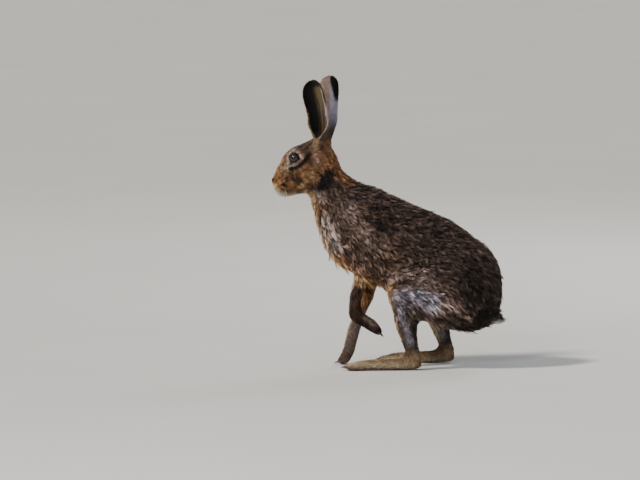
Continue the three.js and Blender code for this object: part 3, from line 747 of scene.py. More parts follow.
# paint, points (x, z) of the stroke seen from the side, half width, edge, strength
STROKES = [
    ("umber", [(-60, 300), (-20, 280), (60, 240), (130, 190), (170, 130)], 40, 26, 0.9),
    ("umber", [(40, 190), (120, 160), (160, 110)], 38, 22, 0.85),
    ("bark", [(-50, 240), (0, 180)], 26, 20, 0.5),
    ("soot", [(-28, 262), (2, 244)], 7, 8, 0.65),
    ("soot", [(-56, 250), (-53, 243)], 3, 5, 0.75),
    ("soot", [(-25, 240), (-6, 229)], 7.5, 6, 1.0),
    ("stone", [(-75, 268), (-55, 232), (-20, 205)], 11, 12, 0.4),
    # the breast's rufous front edge, brightened by a painted rim of sunlight
    ("gold", [(-134, 282), (-123, 240), (-108, 202), (-84, 168)], 12, 6, 1.0),
    ("rufous", [(-112, 270), (-100, 225), (-86, 185)], 7, 8, 0.35),
    ("linen", [(-104, 250), (-97, 228), (-88, 206)], 9, 9, 0.55),
    ("rufous", [(-80, 190), (-55, 162), (-30, 152)], 8, 8, 0.45),
    ("gold", [(-76, 162), (-40, 142), (0, 130)], 7, 5, 0.85),
    ("cream", [(20, 92), (80, 66), (110, 62)], 9, 6, 0.5),
    ("stone", [(8, 154), (36, 152), (62, 144)], 8, 8, 0.6),
    ("stone", [(76, 110), (106, 100)], 10, 9, 0.6),
    ("silver", [(18, 112), (42, 117), (66, 111)], 12, 9, 0.95),
    ("violet", [(14, 118), (22, 102), (44, 116)], 7, 7, 0.75),
    ("umber", [(8, 134), (20, 144), (46, 148)], 4, 4, 0.8),
    ("pink", [(-2, 128), (3, 143), (15, 153), (34, 159), (54, 161)], 2.6, 2.2, 0.8),
    ("umber", [(50, 78), (84, 80), (112, 80)], 12, 10, 0.7),
    ("soot", [(126, 150), (160, 100)], 22, 16, 0.75),
    # painted shadow under the rump
    ("soot", [(104, 66), (130, 70), (152, 82)], 11, 8, 0.85),
    ("black", [(152, 94), (172, 93), (192, 91)], 9, 3, 1.0),
    # painted shadow under the root of the tail
    ("soot", [(138, 74), (156, 75)], 7, 4, 0.9),
    ("ash", [(164, 68), (180, 73), (196, 79)], 5.5, 3, 0.95),
    ("rufous", [(-101, 378), (-94, 345), (-82, 322), (-72, 312)], 9, 8, 0.8),
    # painted shadow: the dark patch behind and under the cheek, on the side of the neck
    ("soot", [(-114, 303), (-94, 307)], 5, 6, 0.8),
    ("black", [(-110, 303), (-101, 323)], 9.5, 4, 1.0),
    ("bark", [(-104, 276), (-88, 278)], 7, 7, 0.5),
    ("pink", [(-120, 290), (-106, 283)], 5, 4, 0.7),
]
HEAD_STROKES = [
    ("ochre", [(-182, 318), (-150, 330), (-125, 345)], 34, 5, 1.0),
    # a painted rim of sunlight along the front of the face
    ("gold", [(-192, 320), (-179, 343), (-166, 362)], 4.5, 3, 0.85),
    ("chestnut", [(-172, 346), (-164, 356)], 3, 3, 0.6),
    ("umber", [(-150, 364), (-128, 372)], 9, 7, 0.85),
    ("chestnut", [(-134, 356), (-131, 338)], 5, 4, 0.85),
    ("stone", [(-124, 360), (-120, 338)], 4, 5, 0.5),
    ("orange", [(-188, 314), (-184, 300)], 7, 5, 0.85),
    ("bark", [(-166, 320), (-152, 311)], 6, 6, 0.5),
    ("tan", [(-180, 338), (-168, 324)], 6, 5, 0.6),
    ("tan", [(-134, 320), (-124, 308)], 5, 6, 0.4),
    ("cream", [(-191, 299), (-184, 290), (-168, 283), (-152, 283)], 5.2, 3, 1.0),
    ("white", [(-187, 289), (-178, 283), (-164, 280)], 4, 2.4, 0.85),
    ("cream", [(-164, 282), (-150, 284), (-136, 287)], 4.5, 3, 0.95),
    # painted shade in the slit of the nostril
    ("soot", [(-192, 304), (-190, 310)], 1.6, 1.4, 0.95),
    ("black", [(-174, 302), (-170, 301)], 3, 2, 1.0),
    ("soot", [(-168, 309), (-167, 307)], 1.2, 1.5, 0.8),
    ("soot", [(-165, 322), (-159, 318)], 1.4, 1.5, 0.8),
    ("soot", [(-158, 312), (-156, 310)], 1.6, 1.5, 0.8),
    ("soot", [(-151, 322), (-149, 320)], 1.2, 1.5, 0.7),
    ("chestnut", [(-157, 313), (-146, 307)], 5, 4, 0.9),
    ("sand", [(-151, 297), (-142, 303), (-136, 311)], 1.6, 1.2, 0.85),
    # painted shade in the crease between cheek and neck
    ("soot", [(-136, 293), (-128, 303)], 2.4, 2, 0.8),
    ("tan", [(-121, 362), (-113, 386)], 5, 4, 0.7),
    ("soot", [(-112, 384), (-113, 372)], 1.2, 1.6, 0.9),
    # the painted shadow under the cheek again, laid over the head's colours
    ("black", [(-112, 304), (-103, 322)], 8.5, 3.5, 1.0),
    ("soot", [(-112, 364), (-107, 352)], 3, 3, 0.7),
]
EYE_STROKES = [
    ("linen", [(-166, 350), (-167, 328)], 1.8, 1.6, 0.6),
    ("black", [(-159, 341), (-160, 334), (-158, 322)], 1.6, 1.0, 0.95),
    ("linen", [(-164, 332), (-155, 335)], 1.6, 1.4, 0.8),
    ("black", [(-161, 328), (-150, 333), (-139, 340), (-133, 351)], 3.6, 1.8, 1.0),
]
LOOK_DOWN = math.tan(math.radians(6))  # the strokes are placed as seen from six degrees above


def over(colours, name, cover):
    """The colours under a paint that covers them from 0, not at all, to 1."""
    return blend(colours, PAINTS[name], cover[:, None])


def painted(points, colours, strokes, limit=1.0):
    """The colours under strokes with ragged edges, seen from the side and a little above."""
    flat = np.stack([points[:, 0], points[:, 2] - LOOK_DOWN * np.abs(points[:, 1])], -1)
    ragged = unevenness(points, 9 * MM, 5)
    for name, line, wide, edge, strength in strokes:
        near = line_distance(flat, places(line))[0] + 0.3 * edge * MM * ragged
        cover = 1 - ease(near, (wide - edge) * MM, (wide + edge) * MM)
        colours = over(colours, name, cover * strength * limit)
    return colours


print("markings:", len(STROKES) + len(HEAD_STROKES) + len(EYE_STROKES), "strokes,", len(PAINTS), "paints")

# %% Markings of the legs, with painted sunlight and painted shade
# the hind ones as the others, and with each point the share of the stride that moves it
HIND_STROKES = [
    ("umber", [(24, 100, 0.9), (40, 40, 1)], 22, 8, 0.85),
    ("silver", [(17, 100, 0.9), (28, 66, 1), (36, 42, 1)], 4.5, 5, 0.55),
    # painted sunlight on the front edge of the shank
    ("sand", [(-4, 138, 0.86), (2, 98, 0.9), (18, 46, 1)], 5, 4, 0.9),
    # painted shade on the rear of the shank
    ("soot", [(44, 84, 0.9), (54, 36, 1)], 7, 6, 0.8),
    ("tan", [(48, 16, 1), (0, 16, 1), (-70, 12, 1)], 14, 5, 0.7),
    ("bark", [(34, 26, 1), (-10, 21, 1), (-50, 17, 1)], 6, 5, 0.6),
    ("cream", [(-66, 4, 1), (40, 3, 1)], 4, 3, 0.6),
]
# the lifted foreleg on the left, and on the right the edge of the thigh and the standing foreleg, both lit
# by painted sunlight
OWN_STROKES = {
    -1: [
        ("chestnut", [(-42, 150), (-50, 118), (-52, 92)], 16, 7, 0.95),
        # the rufous front edge, brightened by painted sunlight
        ("orange", [(-62, 148), (-66, 118), (-67, 92)], 3.2, 3, 0.8),
        # painted shade on the rear of the upper foreleg
        ("soot", [(-38, 134), (-43, 105)], 5, 4, 0.8),
        ("chestnut", [(-56, 84), (-28, 72), (-10, 56)], 14, 5, 0.9),
        ("soot", [(-50, 76), (-30, 62)], 5, 4, 0.7),
        ("soot", [(-18, 58), (-6, 50)], 6, 4, 0.9),
        ("stone", [(-40, 82), (-24, 71)], 3, 3, 0.7),
    ],
    1: [
        # painted sunlight on the front edge of the far hind leg
        ("cream", [(50, 112), (58, 88), (70, 62), (82, 40)], 7, 4, 0.95),
        # these three: painted sunlight on the standing foreleg, its upper part partly its own rufous, and a
        # line along its front edge
        ("orange", [(-26, 132), (-40, 96)], 14, 6, 0.7),
        ("stone", [(-46, 84), (-66, 30)], 12, 6, 0.45),
        ("cream", [(-46, 104), (-62, 66), (-78, 20)], 3.2, 2.6, 0.9),
        ("soot", [(-22, 124), (-36, 90)], 3, 3, 0.5),
    ],
}
low_legs = 1 - ease(skin_points[:, 2], 128 * MM, 150 * MM)
on_head = 1 - ease(skin_points @ unit((0.85, 0, -0.53)), -0.262, -0.25)  # ahead of the neck
colours = np.tile(PAINTS["flank"], (len(skin_points), 1))
colours = painted(skin_points, colours, STROKES)
colours = painted(skin_points, colours, HEAD_STROKES, on_head)
for side in SIDES:
    strokes = []
    for name, line, *brush in HIND_STROKES:
        strokes.append((name, [(x + share * stride_of(side), z) for x, z, share in line], *brush))
    own_side = ease(skin_points[:, 1] * side, 8 * MM, 16 * MM)
    colours = painted(skin_points, colours, strokes + OWN_STROKES[side], low_legs * own_side)
    centre, out, front, up = eye_frame(side)
    far = np.linalg.norm(skin_points - centre, axis=1)
    rear_low = ease((skin_points - centre) @ (up + front), 6 * MM, -6 * MM)
    ring = 1 - ease(np.abs(far - 11 * MM), 0.9 * MM, blend(1.8, 2.6, rear_low) * MM)
    colours = over(colours, "linen", ring * 0.82)
colours = painted(skin_points, colours, EYE_STROKES, on_head)
mottle = unevenness(skin_points, 7 * MM, 23) + 0.6 * unevenness(skin_points, 3.4 * MM, 24)
mottled = on_head * blend(0.3, 1.0, ease(skin_points[:, 2], 288 * MM, 300 * MM))  # the chin is clean
colours *= np.exp(mottled * 0.52 * mottle)[:, None]
colours = over(colours, "soot", mottled * 0.75 * ease(-mottle, 0.6, 1.5))
high = on_head * ease(skin_points[:, 2] - 0.5 * skin_points[:, 0], 412 * MM, 436 * MM)
colours = over(colours, "stone", high * 0.75 * ease(mottle, 0.2, 1.2))
# painted shade: the slits of the nostrils, the split lip and the mouth are painted black inside
colours = over(colours, "black", 1 - ease(face_gap, -0.2 * MM, 0.5 * MM))
print("painted the body, mean colour", np.round(colours.mean(0), 3))

# %% Markings of the ears and lids, with painted light and shadow in the ears
def layered(ground, layers):
    """A ground with paints laid over it one after another."""
    colours = np.tile(PAINTS[ground], (len(layers[0][1]), 1))
    for name, cover in layers:
        colours = over(colours, name, cover)
    return colours


def ear_colours(name, s, across, face):
    """Black tips, pale backs tinted bluish as painted sky light, and cups painted black in front as the
    shadow inside them and olive behind, their own colour with painted light through it.
    """
    ahead = across if name == "right" else 1 - across  # 0 at the front edge, 1 at the rear one
    back = layered("pink", [
        # the pale rear of the backs, tinted bluish as painted sky light
        ("violet", ease(ahead, 0.42, 0.6) * ease(s, 0.12, 0.3)),
        ("chestnut", (1 - ease(s, 0.2, 0.5)) * 0.8),
        ("black", ease(s + 0.42 * ease(ahead, 0.3, 0.75), 1.0, 1.1)),
        ("tan", (1 - ease(ahead, 0.05, 0.14)) * (1 - ease(s, 0.9, 0.96)) * 0.8),
    ])
    stripes = ease(np.sin(across * 46 + 4 * s), 0.3, 1) * (1 - ease(s, 0.55, 0.8))
    fringe = (1 - ease(ahead, 0.06, 0.14)) * (1 - ease(s, 0.5, 0.62)) * (0.6 + 0.4 * np.sin(s * 90))
    cup = layered("bark", [
        # the cup's olive rear: its own colour with painted light through it
        ("olive", ease(ahead, 0.5, 0.64) * ease(s, 0.45, 0.7)),
        ("stone", stripes * 0.5),
        # painted shadow: the front of the cup is black where shade falls inside it
        ("black", (1 - ease(ahead, 0.42, 0.56)) * ease(s, 0.1, 0.25) * 0.97),
        ("black", ease(s, 0.86, 0.92) * 0.95),
        ("cream", ease(ahead, 0.86, 0.95) * (1 - ease(s, 0.8, 0.9)) * 0.9),
        ("tan", fringe * 0.95),
    ])
    return blend(back, cup, face[:, None])


for name, (part, *values) in ear_values.items():
    colours[part] = ear_colours(name, *values)
lid_paint = ease(lid_rows, 3.2, 5)[:, None]
colours[lid_part] = blend(PAINTS["black"] * 0.7, colours[lid_part], lid_paint)
colours *= np.exp(0.3 * unevenness(skin_points, 11 * MM, 9) * shaggy)[:, None]
colour_points(skin.data, "coat", colours)
print("painted the ears and lids")

# %% [markdown]
# ## The coat, tuft by tuft
# A tuft is a thin blade with a ridge: three points round, two or three rings and a tip. Roots are
# scattered evenly over the skin, thicker where the hair is short. Neighbouring tufts lean to the tip
# of the same lock, because damp hair clings together, and each lock turns a little its own way and
# has its own share of light or dark hair. Most tips follow the skin, so the coat wraps round the form.
# On the ears and the tail, and in a few stray locks, they stand free.

# %% Scatter the roots
COVER_LONG, COVER_SHORT = 5.2, 2.4  # layers of hair over each spot


def tuft_width(long):
    return (0.17 * np.sqrt(long / MM) + 0.14) * MM


def scattered():
    """Each root as three corners of the skin with their weights, and its place on the flat map."""
    mesh = skin.data
    mesh.calc_loop_triangles()
    corners = taken(mesh.loop_triangles, "vertices", 3, np.int32)
    loops = taken(mesh.loop_triangles, "loops", 3, np.int32)
    a, b, c = (skin_points[corners[:, k]] for k in range(3))
    area = np.linalg.norm(np.cross(b - a, c - a), axis=1) / 2
    long = length[corners].mean(1)
    cover = blend(COVER_SHORT, COVER_LONG, shaggy[corners].mean(1)) * thickness[corners].mean(1)
    running = np.cumsum(area * cover / (long * tuft_width(long))) + random.random()
    number = np.diff(np.floor(running), prepend=0).astype(int)
    triangle = np.repeat(np.arange(len(corners)), number)
    u, v = random.random((2, len(triangle)))
    beyond = u + v > 1
    u, v = np.where(beyond, 1 - u, u), np.where(beyond, 1 - v, v)
    weights = np.stack([1 - u - v, u, v], -1)
    uv = taken(mesh.uv_layers["OFBake"].data, "uv", 2)
    flat = (uv[loops[triangle]] * weights[:, :, None]).sum(1)
    return corners[triangle], weights, flat


root_corners, root_weights, root_uv = scattered()


def at_roots(values):
    picked = values[root_corners]
    return (picked * (root_weights if picked.ndim == 2 else root_weights[:, :, None])).sum(1)


roots, outs = at_roots(skin_points), unit(at_roots(skin_normals))
ways = along_surface(at_roots(lie), outs)
longs, depths, shags = at_roots(length), at_roots(depth), at_roots(shaggy)
tints = at_roots(colours)
is_ear = root_corners[:, 0] >= body_end
print("roots:", len(roots), "of them", int(is_ear.sum()), "on ears and lids")

# %% Gather the tufts into locks
LOCK_SHARE = 0.19  # one tuft in about five leads a lock


def nearest_leader(leaders):
    tree = KDTree(len(leaders))
    for k, place in enumerate(roots[leaders]):
        tree.insert(place, k)
    tree.balance()
    return np.array([tree.find(place)[1] for place in roots])


def per_lock(low, high):
    """A number drawn for each lock and given to all its tufts."""
    return blend(low, high, random.random(len(leaders)))[lock]


def per_tuft(low, high):
    return blend(low, high, random.random(len(roots)))


def laid(directions, distances, heights):
    """Where a tuft's point comes to lie: over the skin's nearest place, at a height off it."""
    ends = np.empty_like(roots)
    for k, (start, way, far, high) in enumerate(zip(roots, directions, distances, heights)):
        place, normal, _, _ = whole_surface.find_nearest(Vector(start + way * far))
        ends[k] = place + normal * high
    return ends


whole_surface = surface_of(skin.data)
leaders = np.flatnonzero(random.random(len(roots)) < LOCK_SHARE)
lock = nearest_leader(leaders)
turns = random.normal(size=len(leaders)) * blend(0.10, 0.22, shags[leaders])
for strength, size, seed in ((0.42, 24 * MM, 17), (0.30, 11 * MM, 18)):
    turns += strength * unevenness(roots[leaders], size, seed) * shags[leaders]
turn = (turns[lock] + random.normal(size=len(roots)) * 0.08)[:, None]
ways = ways * np.cos(turn) + np.cross(outs, ways) * np.sin(turn)
longs *= per_lock(0.82, 1.2) * per_tuft(0.85, 1.1)
lifts = per_lock(0.7, 1.15) * per_tuft(0.8, 1.1)
tips = laid(ways, longs * 0.92, depths * lifts)
middles = laid(ways, longs * 0.42, depths * lifts * 0.72)
print("locks:", len(leaders))

# %% Free the tips of ears, tail and stray locks, and let the others cling
on_tail = ease(roots[:, 0], 160 * MM, 172 * MM) * (1 - ease(roots[:, 2], 90 * MM, 96 * MM)) > 0.5
stray = random.random(len(leaders)) < 0.26 * ease(longs[leaders], 17 * MM, 22 * MM)
is_free = is_ear | stray[lock] | on_tail
rises = longs * per_lock(0.22, 0.5) * np.where(on_tail, 0.3, 1.0)
rises = np.where(is_ear, depths * lifts, rises)
ways[on_tail] = unit(ways + (1.2, 0, -0.1))[on_tail]
tips[is_free] = (roots + ways * longs[:, None] * 0.95 + outs * rises[:, None])[is_free]
middles[is_free] = (roots + ways * longs[:, None] * 0.45 + outs * (rises * 0.6)[:, None])[is_free]
cling = blend(0.2, 0.55, shags)[:, None]
gap = tips[leaders][lock] - tips
same = ((np.linalg.norm(gap, axis=1) < longs * 0.8) & ~is_ear)[:, None]
tips = tips + gap * cling * same
middles = middles + gap * 0.3 * cling * same
tips[:, 2] = np.maximum(tips[:, 2], 0.4 * MM)
middles[:, 2] = np.maximum(middles[:, 2], 0.5 * MM)
phases = per_lock(0, 1)
sways = blend(0.05, 0.75, shags) * per_lock(0.5, 1.3) * MM
print("free tips:", int(is_free.sum()), "and clinging ones:", int(same.sum()))

# %% Colour each tuft
def streaked(points, way, fine, long, seed):
    """An unevenness drawn out along one direction, like strands of damp hair."""
    way = unit(way)
    reach = (points @ way)[:, None] * way
    return unevenness((points - reach) / fine + reach / long, 1.0, seed)


def lock_lightness():
    """How light each lock is: partly chance, partly streaks that run on from lock to lock."""
    spots = roots[leaders]
    trunk = streaked(spots, (0.86, 0, -0.5), 5 * MM, 16 * MM, 31)
    breast = streaked(spots, (0.4, 0, -0.9), 4 * MM, 26 * MM, 32)
    thigh = streaked(spots, (0.62, 0, -0.78), 3.4 * MM, 34 * MM, 33)
    streak = blend(trunk, breast, ease(-spots[:, 0], 62 * MM, 90 * MM))
    low = ease(spots[:, 0], -10 * MM, 6 * MM) * (1 - ease(spots[:, 2], 132 * MM, 156 * MM))
    streak = blend(streak, thigh * 1.8, low)
    return streak * 0.8 + random.normal(size=len(leaders)) * 0.6


def tuft_colours():
    """Colours at the root, middle, upper part and tip of every tuft."""
    light = lock_lightness()[lock] + random.normal(size=len(roots)) * 0.35
    ticked = ease(light, 0.2, 1.3) * blend(0.3, 0.8, shags)
    vivid = blend(0.22, 0.74, shags) + 0.35 * ease(longs, 17 * MM, 23 * MM)
    body = tints * np.exp(light * vivid)[:, None]
    lighter = np.minimum(2.5, 0.85 / tints.max(1))[:, None]
    pale = blend(tints * lighter, PAINTS["stone"], 0.35 * ease(tints.mean(1), 0.008, 0.03)[:, None])
    shine = blend(body, pale, (ticked * 0.8)[:, None])
    dark = ease(-light, 0.3, 1.4) * blend(0.35, 0.7, shags)
    tip = blend(shine, PAINTS["black"], dark[:, None] * 0.8)
    # painted shade deep in the coat: each tuft darkens towards its root, to a fifth at the root
    tones = np.stack([body * 0.2, body * 0.75, shine, tip], 1)
    return tones / np.maximum(1, tones.max(-1, keepdims=True) / 0.9)  # a light hair keeps its hue


tuft_paints = tuft_colours()
print("tuft colours: mean", np.round(tuft_paints.mean((0, 1)), 3))

# %% Shape the tufts
MOST = 190_000  # triangles in one piece
FEWEST = 12  # tufts in one piece
PATCH = 0.003  # each tuft's patch on the flat map
LONG_RINGS = np.array([0.0, 0.42, 0.76])
SHORT_RINGS = np.array([0.0, 0.5])


def blades(name, chosen, rings):
    """One closed, ridged and tapered blade for each chosen root, joined in one mesh."""
    n, m = len(chosen), len(rings)
    steps = np.append(rings, 1.0)
    root = (roots - outs * 0.6 * MM)[chosen][:, None]
    bend, tip = middles[chosen][:, None], tips[chosen][:, None]
    t = steps[None, :, None]
    bend = 2 * bend - 0.5 * (root + tip)
    line = (1 - t) ** 2 * root + 2 * t * (1 - t) * bend + t**2 * tip
    along = unit(2 * (1 - t) * (bend - root) + 2 * t * (tip - bend))
    side = unit(np.cross(along, outs[chosen][:, None]))
    wave = np.sin(2 * math.pi * (1.1 * t + phases[chosen][:, None, None])) * t
    line = line + side * wave * sways[chosen][:, None, None]
    ridge = np.cross(side, along)
    wide = tuft_width(longs[chosen])[:, None, None] * np.interp(t, [0, 0.4, 0.8, 1], [0.75, 1.0, 0.6, 0.0])
    round_ = np.stack([line - side * wide / 2, line + side * wide / 2, line + ridge * wide * 0.45], 2)
    points = np.concatenate([round_[:, :m].reshape(n, 3 * m, 3), line[:, m:]], 1).reshape(-1, 3)
    size, top = 3 * m + 1, 3 * (m - 1)
    base = np.arange(n)[:, None, None] * size
    ring = (np.arange(m - 1) * 3)[:, None, None]
    pattern = np.array([[0, 3, 4, 1], [1, 4, 5, 2], [2, 5, 3, 0]])
    quads = (base + (ring + pattern).reshape(1, -1, 4)).reshape(-1, 4)
    peak = [[top + 1, size - 1, top + 2], [top + 2, size - 1, top], [top, size - 1, top + 1]]
    ends = base + np.array([*peak, [0, 1, 2]])
    piece = mesh_object(name, points, quads, ends.reshape(-1, 3))
    shades = np.interp(steps, [0, 0.4, 0.76, 1], [0, 1, 2, 3])
    low = np.floor(shades).astype(int)
    high = np.minimum(low + 1, 3)
    tone = blend(tuft_paints[chosen][:, low], tuft_paints[chosen][:, high], (shades - low)[:, None])
    colour_points(piece.data, "coat", np.repeat(tone, [3] * m + [1], axis=1).reshape(-1, 3))
    spread = np.append(np.tile([0.0, 1.0, 0.5], m), 0.5)
    height = np.append(np.repeat(rings, 3), 1.0)
    offset = (np.stack([spread, height], -1) - 0.5) * PATCH
    flat = (root_uv[chosen][:, None] + offset).reshape(-1, 2)
    layer = piece.data.uv_layers.new(name="OFBake")
    vertex = taken(piece.data.loops, "vertex_index", 1, np.int32)[:, 0]
    layer.data.foreach_set("uv", np.clip(flat[vertex], 0, 1).astype(np.float32).ravel())
    return piece


def nearest_part():
    """The names of the solids, and which of them each root lies nearest to."""
    names = [name for name in frame["nodes"] if not name.startswith("eye")]
    points, faces, owner = [], [], []
    for k, name in enumerate(names):
        mesh = frame["nodes"][name].data
        faces += [[len(points) + v for v in face.vertices] for face in mesh.polygons]
        owner += [k] * len(mesh.polygons)
        points += [vertex.co.copy() for vertex in mesh.vertices]
    surface = BVHTree.FromPolygons(points, faces)
    return names, np.array([owner[surface.find_nearest(Vector(root))[2]] for root in roots])


slots = {part["node"]: part["material_slot"] for part in frame["record"]["subparts"]}
names, part_of = nearest_part()
is_long = longs > 7 * MM
coat_pieces = []
triangles = 0
for k, name in enumerate(names):
    for kind, rings, mask in (("coat", LONG_RINGS, is_long), ("nap", SHORT_RINGS, ~is_long)):
        chosen = np.flatnonzero((part_of == k) & mask)
        each = 6 * (len(rings) - 1) + 4
        share = max(math.ceil(len(chosen) * each / MOST), 1)
        for number, batch in enumerate(np.array_split(chosen, share)):
            if len(batch) >= FEWEST:
                piece = blades(f"{kind}_{name}" + (f"_{number + 1}" if share > 1 else ""), batch, rings)
                coat_pieces.append((piece, slots[name]))
                triangles += len(batch) * each
print("coat:", len(coat_pieces), "pieces,", triangles, "triangles")

# %% [markdown]
# ## Finishes
# A material is a small tree of nodes. Written out one link at a time a tree is hard to read, so three
# small classes help: `Wire` is a socket that can be added and multiplied, `Tree` adds a node of any
# kind with its values and settings, and `Finish` is the tree of one material. The coat's colour comes
# from the markings stored on it, with a fine break-up so that no two hairs are quite alike.

# %% Wires and finishes
class Wire:
    """A socket that takes part in sums: each operator adds its Math node."""

    def __init__(self, tree, socket):
        self.tree, self.socket = tree, socket

    def math(self, operation, a, b):
        return self.tree.node("ShaderNodeMath", {0: a, 1: b}, operation=operation)

    def __add__(self, other):
        return self.math("ADD", self, other)

    def __sub__(self, other):
        return self.math("SUBTRACT", self, other)

    def __rsub__(self, other):
        return self.math("SUBTRACT", other, self)

    def __mul__(self, other):
        return self.math("MULTIPLY", self, other)

    __radd__ = __add__


class Tree:
    """A tree of nodes, for a material or for geometry, that is written as expressions."""

    def __init__(self, tree):
        self.tree = tree

    def join(self, value, socket):
        if isinstance(value, Wire):
            self.tree.links.new(value.socket, socket)
        else:
            socket.default_value = value

    def node(self, kind, values=None, output=0, stops=(), **settings):
        """Adds a node with what goes into its sockets, its settings and the stops of a colour ramp."""
        made = self.tree.nodes.new(kind)
        for name, value in settings.items():
            setattr(made, name, value)
        while stops and len(made.color_ramp.elements) < len(stops):
            made.color_ramp.elements.new(0.5)
        for k, (place, colour) in enumerate(stops):
            made.color_ramp.elements[k].position = place
            made.color_ramp.elements[k].color = (*colour, 1)
        for name, value in (values or {}).items():
            self.join(value, made.inputs[name])
        return Wire(self, made.outputs[output])


class Finish(Tree):
    """One material and the nodes that make it."""

    def __init__(self, name, **constants):
        self.material = bpy.data.materials.new(name)
        self.material.use_nodes = True
        super().__init__(self.material.node_tree)
        self.use(**constants)

    def use(self, **values):
        """Gives sockets of the shader, with _ for each space in their names, a number or a wire."""
        shader = self.tree.nodes["Principled BSDF"]
        for socket, value in values.items():
            self.join(value, shader.inputs[socket.replace("_", " ")])
        return self.material

    def coat(self):
        return self.node("ShaderNodeAttribute", output="Color", attribute_name="coat")

    def place(self):
        return self.node("ShaderNodeTexCoord", output="Object")

    def noise(self, scale, detail=3.0, place=None):
        values = {"Vector": place or self.place(), "Scale": scale, "Detail": detail}
        return self.node("ShaderNodeTexNoise", values)

    def scaled(self, colour, factor):
        """A colour made lighter or darker by a number that changes over the surface."""
        return self.node("ShaderNodeVectorMath", {"Vector": colour, "Scale": factor}, operation="SCALE")

    def bump(self, height, distance, strength=1.0):
        return self.node("ShaderNodeBump", {"Height": height, "Distance": distance, "Strength": strength})


def fur_finish():
    constants = {"Specular_IOR_Level": 0.22, "Sheen_Weight": 0.03, "Sheen_Roughness": 0.4}
    finish = Finish("hare fur", Roughness=0.62, **constants)
    colour = finish.coat()
    fine = finish.noise(900)
    grain = finish.noise(2400, 1.0)
    return finish.use(
        Base_Color=finish.scaled(colour, 0.72 + fine * 0.56),
        Roughness=0.5 + fine * 0.22,
        Normal=finish.bump(grain, 0.0002, 0.5),
    )


def skin_finish():
    finish = Finish("hare skin under the fur", Roughness=0.75, Specular_IOR_Level=0.25)
    colour = finish.coat()
    stretch = finish.node("ShaderNodeMapping", {"Vector": finish.place(), "Scale": (500, 1100, 900)})
    nap = finish.noise(1.0, 4.0, stretch)
    return finish.use(
        # painted shade among the roots of the tufts: the markings darkened to between 0.3 and 0.8, with the
        # nap
        Base_Color=finish.scaled(colour, 0.30 + nap * 0.5),
        Normal=finish.bump(nap, 0.0008, 0.8),
    )


FUR, SKIN = fur_finish(), skin_finish()
skin.data.materials.append(SKIN)
for piece, _ in coat_pieces:
    piece.data.materials.append(FUR)
print("finishes:", FUR.name, "and", SKIN.name)

# %% Finish the eyes
IRIS_STOPS = [  # out from the middle of the pupil, as shares of the ball's radius
    (0.0, (0.002, 0.002, 0.002)), (0.38, (0.003, 0.002, 0.002)), (0.46, (0.034, 0.014, 0.007)),
    (0.56, (0.065, 0.027, 0.012)), (0.66, (0.02, 0.008, 0.004)), (0.74, (0.002, 0.002, 0.002)),
]


def eye_finish(side):
    """A wide dark pupil in an amber iris that darkens at its rim, under a wet clear coat."""
    wet = {"Coat_Weight": 1.0, "Coat_Roughness": 0.07, "Coat_IOR": 1.5, "Specular_IOR_Level": 0.0}
    finish = Finish("hare eye " + SIDES[side], Roughness=0.08, **wet)
    centre, out, _, _ = eye_frame(side)
    ends = {0: finish.place(), 1: tuple(centre + out * EYE_RADIUS)}
    far = finish.node("ShaderNodeVectorMath", ends, "Value", operation="DISTANCE")
    rays = finish.noise(1400, 2.0)
    turn = far * (1 / EYE_RADIUS) + (rays - 0.5) * 0.08
    return finish.use(Base_Color=finish.node("ShaderNodeValToRGB", {"Fac": turn}, stops=IRIS_STOPS))


for side, piece in eyeballs.items():
    piece.data.materials.append(eye_finish(side))
print("finished both eyes")

# %% [markdown]
# ## Whiskers and claws
# Both are strands of horn that taper to a point and bend: a whisker long and thin, a claw short and
# stout. One Geometry Nodes tree makes both. It bends one strand of length one, gives it its taper,
# and sets a copy on every root, turned to that root's own way and scaled to its own length.

